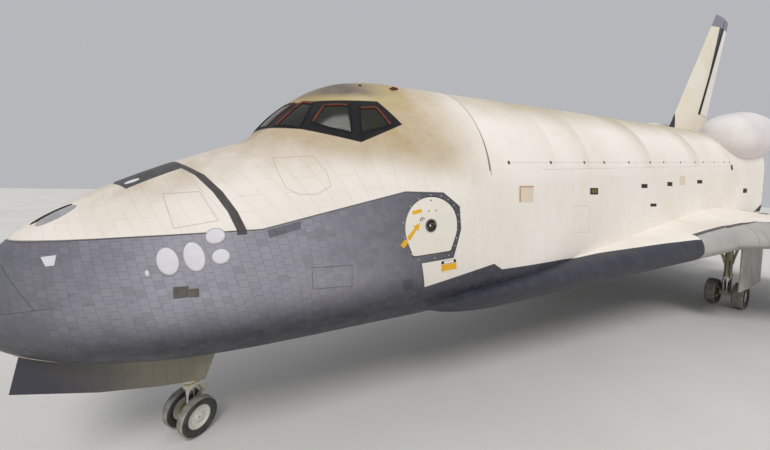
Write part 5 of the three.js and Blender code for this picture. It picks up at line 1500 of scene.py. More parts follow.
def pane_parts(name, word, pts, settings):
    """One pane with its black rim, its red seals and the blind behind it."""
    p = np.array(pts)
    order = range(len(p)) if word == "port" else range(len(p))[::-1]
    phi = np.arctan2(p[:, 2] - waist(p[:, 0]), p[:, 1])
    pane = shell(f"pane_{name}_{word}", (p[:, 0].min() - 0.15, p[:, 0].max() + 0.15),
                 (phi.min() - 0.10, phi.max() + 0.10), (-settings.depth - 0.025, -settings.depth), (40, 40))
    carve(pane, [pane_prism(pts, -0.001, 0.30, 0.30)], "INTERSECT")
    finish_piece(dressed(pane, finish("glass")), "airframe", [f"window_{name}_{word}"])

    centre = p.mean(axis=0)
    ring = p + (p - centre) / np.linalg.norm(p - centre, axis=1)[:, None] * 0.030
    rim = Kit().bead(on_skin(np.array(spaced(ring, 0.05))), 0.036, 0.007)
    finish_piece(rim.make(f"pane_rim_{name}_{word}", finish("black")), "airframe")
    strips = Kit()
    for a, b in SEALS[name]:
        ends = [p[order[a]], p[order[b]]]
        ends = [e + (centre - e) / np.linalg.norm(centre - e) * 0.006 for e in ends]
        strips.bead(on_skin(np.array(spaced(ends, 0.05, False))), 0.046, 0.011, closed=False)
    finish_piece(strips.make(f"pane_seal_{name}_{word}", finish("seal")), "airframe")
    inward = np.cross(p[1] - p[0], p[2] - p[0])
    inward = inward / np.linalg.norm(inward)
    inward = -inward if inward @ np.array([-1.5, centre[1], 1.5]) > 0 else inward
    spots = [centre + (p[order[0]] - centre) * a + (p[order[1]] - centre) * b for a, b in SHADES[name]]
    blind = Kit().loft([[q + inward * d for q in spots] for d in (0.13, 0.15)])
    finish_piece(blind.make(f"pane_shade_{name}_{word}", finish("shade")), "airframe")


def build_panes(settings):
    """Window glass, a little below the skin."""
    for name, corners in PANES.items():
        pane_parts(name, "port", corners, settings)
        pane_parts(name, "starboard", mirrored(corners), settings)


# Places on the hatch as station and height: its window, the plug in it, its sockets, and its markers' corners.
HATCH_EYE = (7.087, 2.323)
HATCH_PLUG = (7.064, 2.325)
HATCH_SOCKETS = [(7.126, 2.818), (7.055, 2.613), (7.214, 2.610), (6.893, 2.444)]
HATCH_MARKERS = [[(6.683, 2.637), (6.891, 2.667), (6.905, 2.600), (6.688, 2.560)],
                 [(6.834, 2.398), (6.675, 2.340), (6.790, 2.241)],
                 [(6.713, 2.311), (6.754, 2.274), (6.597, 2.072), (6.529, 2.139)]]


def build_hatch(settings):
    """Side hatch with its window, bolts, sockets, handle and markers."""
    plate = shell("hatch_plate", (HATCH_S - 0.72, HATCH_S + 0.72), (math.pi + 0.75, math.pi - 0.55),
                  (-SKIN + 0.012, 0.002), (64, 64))
    plug = [[(s, y, h) for s, h in hatch_outline(-(y + 2.6) / 30)] for y in (-2.9, -2.0)]
    carve(plate, [Kit().loft(plug).make("cutter")], "INTERSECT")
    finish_piece(dressed(plate, finish("hatch")), "side_hatch", ["side_hatch"])

    eye = side_points([HATCH_EYE])[0]
    out = skin_normals(eye)
    kit = Kit().ring(eye, out, [(-0.02, 0.104), (0.012, 0.104), (0.018, 0.110), (0.018, 0.124), (0.010, 0.132),
                                (-0.02, 0.132)])
    kit.ring(eye, out, [(-0.02, 0.044), (0.008, 0.044), (0.008, 0.058), (-0.02, 0.060)], 40)
    finish_piece(kit.make("hatch_window_rings", finish("patch")), "side_hatch")
    kit = Kit().turned(eye - out * 0.02, out, [(0, 0.106), (0.021, 0.106), (0.0225, 0.08), (0.023, 0.0)], 64)
    finish_piece(kit.make("hatch_window_glass", finish("black")), "side_hatch")
    kit = Kit().turned(side_points([HATCH_PLUG])[0], out, [(-0.004, 0.020), (0.007, 0.020), (0.010, 0.014)], 24)
    finish_piece(kit.make("hatch_window_plug", finish("cover")), "side_hatch")
    bolts = [eye + 0.118 * (math.cos(a) * np.array([1.0, 0, 0]) + math.sin(a) * np.cross(out, (1.0, 0, 0)))
             for a in np.linspace(0, 2 * math.pi, settings.studs, endpoint=False)]
    studs("hatch_window_bolts", "dark", bolts, "side_hatch", 0.005, 0.021, normals=out, sides=6, sunk=0.0)
    studs("hatch_sockets", "patch", side_points(HATCH_SOCKETS), "side_hatch", 0.021, 0.004, sides=14)
    arc = [(6.893 + 0.052 * math.cos(a), 2.440 + 0.052 * math.sin(a)) for a in np.linspace(0.5, 3.4, 16)]
    kit = Kit().bead(side_points(arc), 0.014, 0.012, closed=False)
    finish_piece(kit.make("hatch_handle", finish("patch")), "side_hatch")
    kit = Kit()
    for outline in HATCH_MARKERS:
        kit.plate(spaced(outline, 0.04), PORT, 0.004, rim=0.003)
    finish_piece(kit.make("hatch_markers", finish("orange")), "side_hatch")


HINGE_DOTS = [9.40, 11.05, 12.70, 13.85, 15.51, 17.20, 18.43, 20.17, 21.89, 22.96, 24.53, 26.13, 27.06]
SIDE_PLATES = [
    ("side_window_frame", "beige", BOTH, 0.004, [(9.702, 3.008), (10.246, 2.986), (10.258, 2.592), (9.709, 2.627)]),
    ("side_window_head", "tan", BOTH, 0.008, [(9.702, 3.008), (10.246, 2.986), (10.246, 2.958), (9.702, 2.980)]),
    ("side_window_jamb", "tan", BOTH, 0.007, [(9.702, 2.975), (9.742, 2.973), (9.748, 2.630), (9.708, 2.632)]),
    ("side_window_edge", "hatch", BOTH, 0.007, [(10.205, 2.955), (10.246, 2.953), (10.256, 2.600), (10.214, 2.602)]),
    ("vent_1", "black", BOTH, 0.003, [(12.943, 2.824), (13.405, 2.804), (13.420, 2.610), (12.956, 2.634)]),
    ("vent_1_core", "olive", BOTH, 0.006, [(13.02, 2.780), (13.330, 2.765), (13.340, 2.655), (13.03, 2.672)]),
    ("vent_2", "black", BOTH, 0.004, [(16.392, 2.817), (16.885, 2.799), (16.903, 2.657), (16.409, 2.678)]),
    ("vent_3", "black", BOTH, 0.004, [(18.695, 2.811), (19.199, 2.795), (19.224, 2.637), (18.718, 2.657)]),
    ("vent_4", "black", BOTH, 0.004, [(17.232, 2.083), (17.768, 2.047), (17.784, 1.934), (17.247, 1.973)]),
    ("vent_5", "black", BOTH, 0.004, [(22.063, 2.790), (22.724, 2.770), (22.756, 2.612), (22.094, 2.636)]),
    ("side_panel", "beige", BOTH, 0.004, [(19.958, 3.012), (20.573, 2.998), (20.638, 2.624), (20.017, 2.647)]),
]
AFT_PLATES = [
    ("aft_vent_upper", "black", BOTH, 0.004, [(27.20, 3.42), (27.50, 3.41), (27.50, 3.15), (27.20, 3.16)]),
    ("aft_vent_lower", "black", BOTH, 0.004, [(29.48, 2.102), (30.15, 2.080), (30.17, 1.830), (29.50, 1.852)]),
]
DOOR_GROOVES = [11.25, 12.95, 17.30, 22.40]


def bay_trough():
    """The mid fuselage below the door sills, hollowed by the round bay."""
    stations = steps((BAY_FRONT, 11.2, 24), (11.2, BAY_REAR, 56))
    dip = math.asin((SILL_H - BAY_AXIS_H) / BAY_RADIUS)
    t = np.linspace(2 * math.pi + dip, math.pi - dip, 90)
    rings = []
    for s in stations:
        start = math.atan2(SILL_H - float(waist(s)), float(skin_y(s, SILL_H)))
        outer = skin_points(s, np.linspace(math.pi - start, 2 * math.pi + start, 170))
        inner = place(s, BAY_RADIUS * np.cos(t), BAY_AXIS_H + BAY_RADIUS * np.sin(t))
        rings.append(np.concatenate([outer, inner]))
    return dressed(lofted("mid_skin", np.array(rings)), finish("fuselage"))


def bay_door(word, side):
    """One payload bay door with its grooves, and the radiator inside it."""
    edge = math.atan2(SILL_H + 0.004 - BAY_AXIS_H, float(skin_y(18.0, SILL_H + 0.004)))
    crown = math.pi / 2 - 0.0016
    low, high = (edge, crown) if side == STARBOARD else (math.pi - crown, math.pi - edge)
    door = shell(f"door_{word}", (BAY_FRONT + 0.012, BAY_REAR - 0.012), (low, high), (-0.10, 0.0), (100, 110))
    carve(door, [shell("groove", (s - 0.006, s + 0.006), (high + 0.05, low - 0.05), (-0.007, 0.05), (2, 60))
                 for s in DOOR_GROOVES])
    dressed(door, finish("door"))
    inner_faces(door, "radiator", (BAY_FRONT, BAY_REAR), 0.06)
    finish_piece(door, f"payload_door_{word}", [f"payload_door_{word}"], skin=True)


def build_bay(settings):
    """Trough of the mid fuselage, its frames and side plates, and the two payload bay doors."""
    trough = bay_trough()
    inner_faces(trough, "liner", (BAY_FRONT + 0.001, BAY_REAR - 0.001), 0.06)
    finish_piece(trough, "airframe", ["mid_fuselage"], skin=True)
    skin_marks(SIDE_PLATES, "airframe")
    caps = [(s, HINGE_LINE_H) for s in HINGE_DOTS]
    for word, side in SIDES:
        studs(f"door_hinge_caps_{word}", "patch", side_points(caps, side), f"payload_door_{word}", 0.050, 0.010,
              sides=14)
    frames = np.linspace(BAY_FRONT + 0.5, BAY_REAR - 0.5, settings.frames)
    hoops = grown("bay_frames", hoop_tree, "frame_green", {"Radius": BAY_RADIUS - 0.035, "Sweep": -math.pi - 0.25},
                  to_row([(s, 0, BAY_AXIS_H) for s in frames]), "turn",
                  [(math.pi / 2, 0.125, -math.pi / 2)] * len(frames))
    finish_piece(hoops, "airframe")
    for word, side in SIDES:
        bay_door(word, side)


def pod(word, side):
    """One engine pod, of rounded square sections."""
    stations = np.concatenate([27.26 + np.linspace(0, 1, 30) ** 2 * 1.2, np.linspace(28.5, 33.56, 44)])[:, None]
    yc, hc, a, b = np.moveaxis(PODS.at(stations), -1, 0)
    t = np.linspace(0, 2 * math.pi, 120, endpoint=False)
    r = ((np.abs(np.cos(t)) / a) ** POD_POWER + (np.abs(np.sin(t)) / b) ** POD_POWER) ** (-1 / POD_POWER)
    rings = place(stations, side * (yc + r * np.cos(t)), hc + r * np.sin(t))
    body = lofted(f"pod_{word}", rings[:, ::-1] if side == PORT else rings)
    finish_piece(dressed(body, finish("pod")), "airframe", [f"oms_pod_{word}"])


def build_aft(settings):
    """Aft fuselage and the two pods on its shoulders."""
    aft = skin_solid("aft_skin", steps((BAY_REAR + 0.003, BASE_S, 60)), settings.around)
    dressed(aft, finish("fuselage"))
    inner_faces(aft, "liner", (BAY_REAR, BAY_REAR + 0.005), -0.01)
    finish_piece(aft, "airframe", ["aft_fuselage"], skin=True)
    skin_marks(AFT_PLATES, "airframe")
    build_nozzles(settings)
    for word, side in SIDES:
        pod(word, side)


def tilted(up, out):
    """An axis that points aft, tilted up and outboard by angles in degrees."""
    up, out = math.radians(up), math.radians(out)
    return np.array([math.cos(up) * math.cos(out), math.cos(up) * math.sin(out), math.sin(up)])


def bell(name, origin, axis, values):
    """A nozzle bell grown by its rule and set on its axis."""
    obj = grown(name, bell_tree, "nozzle", values)
    a, u, v = axes_for(turn_row(axis))
    turn = Matrix(np.stack([u, v, a], axis=1).tolist()).to_4x4()
    turn.translation = to_row(origin).tolist()
    obj.data.transform(turn)
    return obj


# Profiles of the collars and of the rings round them, as distance along the axis and radius.
COLLAR_RINGS = [(-0.30, 0.30), (0.10, 0.30), (0.16, 0.46), (0.12, 0.56), (-0.30, 0.80)]
SHIELD_RINGS = [(0, 0.78), (0.10, 0.80), (0.12, 0.86), (0.03, 1.02), (0, 1.04)]


def build_nozzles(settings):
    """The three main bells with their collars, the two pod bells, and the heat shield round them."""
    shield, collars = Kit(), Kit()
    for name, y, h, up, out in MAIN_NOZZLES:
        axis, origin = tilted(up, out), np.array([MAIN_BELL["s"], y, h])
        made = bell(name + "_bell", origin, axis, {
            "Length": MAIN_BELL["length"], "Throat": MAIN_BELL["throat"], "Mouth": MAIN_BELL["mouth"],
            "Wall": settings.wall, "Power": 0.60, "Hoops": float(settings.hoops), "Hoop Height": 0.022})
        finish_piece(made, "airframe", [name])
        collars.ring(origin + axis * 0.02, axis, COLLAR_RINGS, 72)
        shield.ring((BASE_S - 0.01, y, h), (1, 0, 0), SHIELD_RINGS, 72)
    finish_piece(collars.make("main_nozzle_collars", finish("dark")), "airframe")
    for side in BOTH:
        for y in np.linspace(0.35, 2.3, 6):
            shield.box((BASE_S + 0.006, side * y, 0.62), (0.02, 0.30, 0.24), edge=0.006)
            shield.box((BASE_S + 0.006, side * (y + 0.1), 3.02), (0.02, 0.28, 0.24), edge=0.006)
    finish_piece(shield.make("base_heat_shield", finish("base_tile")), "airframe")
    for word, side in SIDES:
        origin = (OMS_NOZZLE["s"], side * OMS_NOZZLE["y"], OMS_NOZZLE["h"])
        made = bell(f"oms_nozzle_{word}_bell", origin, tilted(OMS_NOZZLE["up"], side * OMS_NOZZLE["out"]), {
            "Length": OMS_NOZZLE["length"], "Throat": 0.28, "Mouth": OMS_NOZZLE["r"] - 0.02, "Wall": 0.014,
            "Power": 0.62, "Hoops": 5.0, "Hoop Height": 0.008, "Along": 90})
        finish_piece(made, "airframe", [f"oms_nozzle_{word}"])


def foil_bump(x):
    """Half thickness of a usual four digit wing section, over its full thickness."""
    v = 0.2969 * np.sqrt(x) - 0.126 * x - 0.3516 * x ** 2 + 0.2843 * x ** 3 - 0.1015 * x ** 4
    return np.maximum(v, 0) / 0.1


def foil(w, f):
    """Upper and lower height of the wing's outer sections at fraction f of the chord."""
    line = w["hle"] + (w["hte"] - w["hle"]) * f
    g = np.maximum(foil_bump(f) * w["t"], 0.008 + 0.004 * f)
    return line + g * w["up"], line - g * (1 - w["up"])


def wing_shares(y):
    """How far a lateral place is from the root to the kink, and from the kink to the tip."""
    return ((y - WING_ROOT["y"]) / (WING_KINK["y"] - WING_ROOT["y"]),
            (y - WING_KINK["y"]) / (WING_TIP["y"] - WING_KINK["y"]))


def between(first, second, key, share):
    """The value at a share of the way from the first place's to the second's."""
    return first[key] + (second[key] - first[key]) * share


def wing_edges(y):
    """Leading and trailing edge stations at a lateral place."""
    y = np.asarray(y, float)
    inner, outer = wing_shares(y)
    return [np.where(y <= WING_KINK["y"], between(WING_ROOT, WING_KINK, key, inner),
                     between(WING_KINK, WING_TIP, key, outer)) for key in ("le", "te")]


def wing_heights(s, y):
    """Upper and lower heights of the wing at station s and lateral place y."""
    s, y = np.broadcast_arrays(np.asarray(s, float), np.asarray(y, float))
    le, te = wing_edges(y)
    f = np.clip((s - le) / (te - le), 0, 1)
    root = (UPPER_ROOT.at(f)[..., 0], LOWER_ROOT.at(f)[..., 0])
    kink, tip = foil(WING_KINK, f), foil(WING_TIP, f)
    inner, outer = wing_shares(y)
    out = []
    for k, grow in ((0, 0.003), (1, -0.003)):
        strake = root[k] + (kink[k] - root[k]) * inner
        panel = kink[k] + (tip[k] - kink[k]) * outer
        out.append(np.where(y <= WING_KINK["y"], strake, panel) + grow)
    return out


HINGE_ROOT = {"y": 3.0, "h": 0.262, "r": 0.262}


def hinge_height(y):
    """Height of the elevon hinge line."""
    return HINGE_ROOT["h"] + HINGE_RISE * (y - HINGE_ROOT["y"])


def hinge_radius(y):
    """Radius of the elevons' round fronts, which taper faster inboard of the kink."""
    if y < WING_KINK["y"]:
        return HINGE_ROOT["r"] - (y - HINGE_ROOT["y"]) * 0.0215
    return 0.232 - (y - WING_KINK["y"]) * 0.0118


def wing_cutter(side):
    """Room behind the wing for the elevons, with a round front."""
    rings = []
    for y in (2.2, WING_KINK["y"], 12.2):
        q = hinge_radius(y) + 0.008
        front = -0.72 * q
        rise = math.sqrt(q * q - front * front)
        a0, a1 = math.atan2(-rise, front), math.atan2(rise, front) - 2 * math.pi
        pts = [(5.0, -3.0), (front, -3.0)]
        pts += [(q * math.cos(t), q * math.sin(t)) for t in np.linspace(a0, a1, 20)]
        pts += [(front, 3.0), (5.0, 3.0)]
        rings.append([(HINGE_S + a, side * y, hinge_height(y) + b) for a, b in pts])
    return Kit().loft(rings).make("cutter")


def plan_prism(outline, side):
    """A cutter through the wing, with an outline of (s, y) places given as on the starboard side."""
    return Kit().loft([[(s, side * y, h) for s, y in outline] for h in (-0.5, 2.5)]).make("cutter")


def edge_region(side, grow=0.0):
    """The room of the grey leading edge, its inner side moved inboard by grow."""
    pts = np.array(EDGE_REGION)
    moved = pts + np.array([(-grow, 0)] + [(-grow, -grow)] + [(0.0, -grow)] * 5 + [(grow, -grow)] * 2 + [(0, 0)] * 2)
    return plan_prism(moved.tolist(), side)


def wing_blank(name, side):
    """The whole wing of one side, without its elevons' gaps and its wheel well."""
    fractions = (1 - np.cos(np.linspace(0, math.pi, 58))) / 2
    rings = []
    for y in steps((2.38, WING_KINK["y"], 14), (WING_KINK["y"], WING_TIP["y"], 40)):
        le, te = wing_edges(y)
        s = le + (te - le) * fractions
        up, low = wing_heights(s, y)
        ring = np.concatenate([place(s, side * y, up), place(s, side * y, low)[::-1]])
        rings.append(ring if side == STARBOARD else ring[::-1])
    rings = np.array(rings)
    faces = [f[::-1] for f in ring_faces(*rings.shape[:2])]
    return mesh_object(name, to_row(rings).reshape(-1, 3), faces)


def edge_slits(side, settings):
    """Cutters for the gaps between the segments of the leading edge."""
    start, end = np.array([19.95, 4.75]), np.array([27.6, 12.4])
    inward = np.array([1.0, -1.0]) / math.sqrt(2)
    joints = [(np.array(p), np.array(q)) for p, q in EDGE_CUTS]
    for k in range(settings.segments):
        centre = start + (end - start) * (k + 0.6) / settings.segments
        joints.append((centre + inward * 1.5, centre - inward * 0.9))
    slits = []
    for p, q in joints:
        d = (q - p) / np.linalg.norm(q - p)
        p, across = p - 0.3 * d, np.array([-d[1], d[0]]) * settings.gap / 2
        slits.append(plan_prism([p - across, q - across, q + across, p + across], side))
    return slits


def round_flap(centre, radius, tail, half_tail):
    """Section of a flap that turns about its round front, as (s, h) points, with a blunt tail."""
    run, rise = tail[0] - centre[0], tail[1] - centre[1]
    lean, spread = math.atan2(rise, run), math.acos(radius / math.hypot(run, rise))
    front = [(centre[0] + radius * math.cos(u), centre[1] + radius * math.sin(u))
             for u in np.linspace(lean + spread, lean + 2 * math.pi - spread, 40)]
    return front + [(tail[0], tail[1] - half_tail), (tail[0], tail[1] + half_tail)]


def elevon(place_name, word, side, y0, y1):
    """One elevon, whose ends are square to the hinge line and a little rounded."""
    bends = [y0, WING_KINK["y"], y1] if y0 < WING_KINK["y"] else [y0, y1]
    rings = []
    for y, ease in [(y0, 0.012), (y0 + 0.012, 0.0), *[(y, 0.0) for y in bends[1:-1]], (y1 - 0.012, 0.0), (y1, 0.012)]:
        share = wing_shares(y)[1]
        tail = between(WING_KINK, WING_TIP, "te", share), between(WING_KINK, WING_TIP, "hte", share)
        level = hinge_height(y)
        section = round_flap((HINGE_S, level), hinge_radius(y) - ease, tail, 0.009)
        rings.append([(s, side * (y - HINGE_RISE * (h - level)), h) for s, h in section])
    skin = Kit().loft(rings).make(f"elevon_{place_name}_{word}_skin", finish("wing"))
    finish_piece(skin, f"elevon_{place_name}_{word}", [f"elevon_{place_name}_{word}"])


def build_wings(settings):
    """Wing skins, leading edge segments and elevons."""
    well = MAIN_WELL
    for word, side in SIDES:
        wing = wing_blank(f"wing_skin_{word}", side)
        low, high = sorted((side * well["y0"], side * well["y1"]))
        carve(wing, [wing_cutter(side), edge_region(side, 0.004),
                     block(well["s0"], well["s1"], low, high, -0.6, well["top"])])
        finish_piece(dressed(wing, finish("wing")), "airframe", [f"wing_{word}"])
        strip = wing_blank(f"leading_edge_segments_{word}", side)
        carve(strip, [edge_region(side)], "INTERSECT")
        carve(strip, edge_slits(side, settings))
        finish_piece(dressed(strip, finish("edge")), "airframe", [f"leading_edge_{word}"])
        for place_name, ends in ELEVON_ENDS.items():
            elevon(place_name, word, side, *ends)


def fin_half(f, thickness):
    """Half thickness of the fin at fraction f of its chord: round in front, and straight to a blunt rear."""
    front = np.maximum(np.sin(math.pi / 2 * np.minimum(f / 0.45, 1)) ** 0.75 * thickness / 2, 0.006)
    g = np.clip((f - 0.45) / 0.55, 0, 1)
    return np.where(f < 0.45, front, thickness / 2 * (1 - g ** 1.6) + 0.012 * g)


RUDDER_RUN = np.array([RUDDER_TOP[0] - RUDDER_LOW[0], 0, RUDDER_TOP[1] - RUDDER_LOW[1]])
RUDDER_LEN = float(np.linalg.norm(RUDDER_RUN))
RUDDER_DIR = RUDDER_RUN / RUDDER_LEN
RUDDER_AFT = np.array([RUDDER_DIR[2], 0, -RUDDER_DIR[0]])
RUDDER_HALF = (0.205, 0.092)
PANEL_DIP = 0.058


def rudder_at(a, n):
    """The place a along the hinge line from its foot, and n aft of it."""
    return np.array([RUDDER_LOW[0], 0.0, RUDDER_LOW[1]]) + RUDDER_DIR * a + RUDDER_AFT * n


def rudder_half(a):
    """Half thickness of the rudder at its hinge line."""
    return RUDDER_HALF[0] + (RUDDER_HALF[1] - RUDDER_HALF[0]) * a / RUDDER_LEN


def fin_edges(h):
    """Leading edge station, trailing edge station and thickness of the fin at a height."""
    share = (h - FIN_ROOT["h"]) / (FIN_TIP["h"] - FIN_ROOT["h"])
    return [between(FIN_ROOT, FIN_TIP, key, share) for key in ("le", "te", "t")]


def fin_piece():
    """The fin, cut away for the rudder."""
    fractions = np.linspace(0, 1, 60) ** 1.5
    rings = []
    for h in (5.30, *np.linspace(5.56, FIN_TIP["h"] - 0.02, 24), FIN_TIP["h"]):
        le, te, t = fin_edges(h)
        s = le + (te - le) * fractions
        half = fin_half(fractions, t) * (0.9 if h == FIN_TIP["h"] else 1.0)
        rings.append(np.concatenate([place(s, half, h), place(s, -half, h)[::-1]]))
    fin = Kit().loft(np.array(rings)).make("fin_skin")
    low = RUDDER_LOW[1] - PANEL_DIP
    start = (low - RUDDER_LOW[1] - RUDDER_DIR[0] * (rudder_half(0) + 0.03)) / RUDDER_DIR[2]
    a = rudder_at(start, -(rudder_half(0) + 0.03))
    b = rudder_at(RUDDER_LEN + 0.9, -(rudder_half(RUDDER_LEN) + 0.03))
    carve(fin, [prism([(a[0], low), (b[0], b[2]), (42, 15.5), (42, low)], -0.9, 0.9)])
    finish_piece(dressed(fin, finish("fin")), "airframe", ["fin"])


def brake_panel(word, side):
    """One of the two rudder panels, thick at the hinge and thin at the rear edge."""
    rings = []
    for h in np.linspace(RUDDER_LOW[1], FIN_TIP["h"] - 0.01, 12):
        a0 = (h - RUDDER_LOW[1]) / RUDDER_DIR[2]
        half = rudder_half(min(max(a0, 0), RUDDER_LEN))
        n0 = half - 0.018
        front = rudder_at(a0 + n0 * RUDDER_DIR[0] / RUDDER_DIR[2], n0)[0]
        te = fin_edges(h)[1]
        outer = [(front + (te - front) * u, side * (half * (1 - u) + 0.014 * u), h) for u in np.linspace(0, 1, 10)]
        rings.append([(front, side * 0.004, h), *outer, (te, side * 0.004, h)])
    panel = Kit().loft(rings).make(f"brake_panel_{word}", finish("rudder"))
    finish_piece(panel, f"speed_brake_{word}", [f"speed_brake_{word}"])


def build_tail(settings):
    """Fin, rudder post, speed brake panels and body flap."""
    fin_piece()
    post = [(a, rudder_half(a) - 0.026) for a in (0.15, RUDDER_LEN - 0.06)]
    post = Kit().turned(rudder_at(0, 0), RUDDER_DIR, post, 60)
    finish_piece(post.make("rudder_core", finish("dark")), "rudder", ["rudder_post"])
    for word, side in SIDES:
        brake_panel(word, side)

    flap, half, edge = BODY_FLAP, BODY_FLAP["half"], settings.edge
    rings = []
    for y, ease in ((-half, edge), (-half + edge, 0.0), (half - edge, 0.0), (half, edge)):
        section = round_flap((flap["s"], flap["h"]), flap["r"] - ease, (flap["te"], 0.20), 0.012)
        rings.append([(s, y, h) for s, h in section])
    skin = Kit().loft(rings).make("body_flap_skin", finish("tile"))
    finish_piece(skin, "body_flap", ["body_flap"])


def add_camera():
    """The camera of the reference view."""
    data = bpy.data.cameras.new("view")
    camera = bpy.data.objects.new("view", data)
    bpy.context.scene.collection.objects.link(camera)
    forward = Vector((math.sin(CAMERA_YAW) * math.cos(CAMERA_PITCH), math.cos(CAMERA_YAW) * math.cos(CAMERA_PITCH),
                      math.sin(CAMERA_PITCH)))
    right = forward.cross(Vector((0, 0, 1))).normalized()
    up = right.cross(forward)
    c, s = math.cos(CAMERA_ROLL), math.sin(CAMERA_ROLL)
    right, up = right * c + up * s, up * c - right * s
    turn = Matrix((right, up, -forward)).transposed()
    camera.matrix_world = Matrix.Translation(CAMERA_PLACE) @ turn.to_4x4()
    data.sensor_fit = "HORIZONTAL"
    data.sensor_width = SENSOR_MM
    data.lens = FOCAL_PIXELS * SENSOR_MM / IMAGE_WIDTH
    data.shift_x = (IMAGE_WIDTH / 2 - PRINCIPAL_X) / IMAGE_WIDTH
    data.shift_y = (PRINCIPAL_Y - IMAGE_HEIGHT / 2) / IMAGE_WIDTH
    data.clip_start = 0.1
    data.clip_end = 2000
    bpy.context.scene.camera = camera


def build_stage(settings):
    """Pale floor, sky light and two soft lamps."""
    size = settings.floor
    floor = mesh_object("stage_floor", [(-size, -size, 0), (size, -size, 0), (size, size, 0), (-size, size, 0)],
                        [[0, 1, 2, 3]])
    paint = Paint("stage_concrete", 0.55)
    cloud = paint.noise(0.15, 4.0, paint.object_point()).ramp(0.35, 0.65)
    floor.data.materials.append(paint.done(paint.mix(cloud, (214, 211, 205), (222, 220, 215))))
    world = bpy.data.worlds.new("soft_sky")
    world.use_nodes = True
    bpy.context.scene.world = world
    back = world.node_tree.nodes["Background"]
    back.inputs["Color"].default_value = (0.93, 0.95, 1.0, 1.0)
    back.inputs["Strength"].default_value = settings.sky
    for name, turn, power, angle in (("key", (math.radians(38), 0, math.radians(-28)), settings.key, 24.0),
                                     ("fill", (math.radians(62), 0, math.radians(62)), settings.key * 0.35, 60.0)):
        data = bpy.data.lights.new(name, "SUN")
        data.energy = power
        data.angle = math.radians(angle)
        lamp = bpy.data.objects.new(name, data)
        lamp.rotation_euler = turn
        lamp.visible_glossy = False
        bpy.context.scene.collection.objects.link(lamp)
    bpy.context.scene.view_settings.view_transform = "Standard"


CARRIED = {"gear": "gear", "chrome": "chrome", "hub": "hub", "tyre": "tyre", "door": "door_inner",
           "nozzle": "nozzle", "interior": "interior", "dark": "dark"}


def paint_carried_nodes():
    """Gives every mesh that no object lists as replaced the finish of its own material's name."""
    replaced = {n for o in bpy.data.objects for n in o.get("replaces", [])}
    for obj in bpy.data.objects:
        if obj.type != "MESH" or obj.name in replaced:
            continue
        for slot in obj.material_slots:
            word = slot.material.name.split(".")[0] if slot.material else ""
            if word in CARRIED:
                slot.material = finish(CARRIED[word])


PLUMB = np.array([SIN_DOWN, 0.0, COS_DOWN])
NOSE_WELL_EDGE = 0.622
# Profiles of the two legs' cylinders from their lower ends, as distance along the axis and radius.
NOSE_LEG_PROFILE = [(0, 0.090), (0, 0.118), (0.02, 0.125), (0.10, 0.125), (0.12, 0.116), (0.75, 0.116),
                    (0.80, 0.125), (0.90, 0.125), (0.95, 0.118), (1.60, 0.118), (1.672, 0.122)]
MAIN_LEG_PROFILE = [(0, 0.10), (0, 0.145), (0.03, 0.155), (0.16, 0.155), (0.19, 0.135), (1.9, 0.140),
                    (1.96, 0.160), (2.38, 0.165), (2.41, 0.155)]
NOSE_AXLE = np.array([-math.sin(NOSE_TURN) * COS_DOWN, math.cos(NOSE_TURN), math.sin(NOSE_TURN) * SIN_DOWN])


# The rim radius that the sizes of spokes and bolts are given for.
SMALL_RIM = 0.225


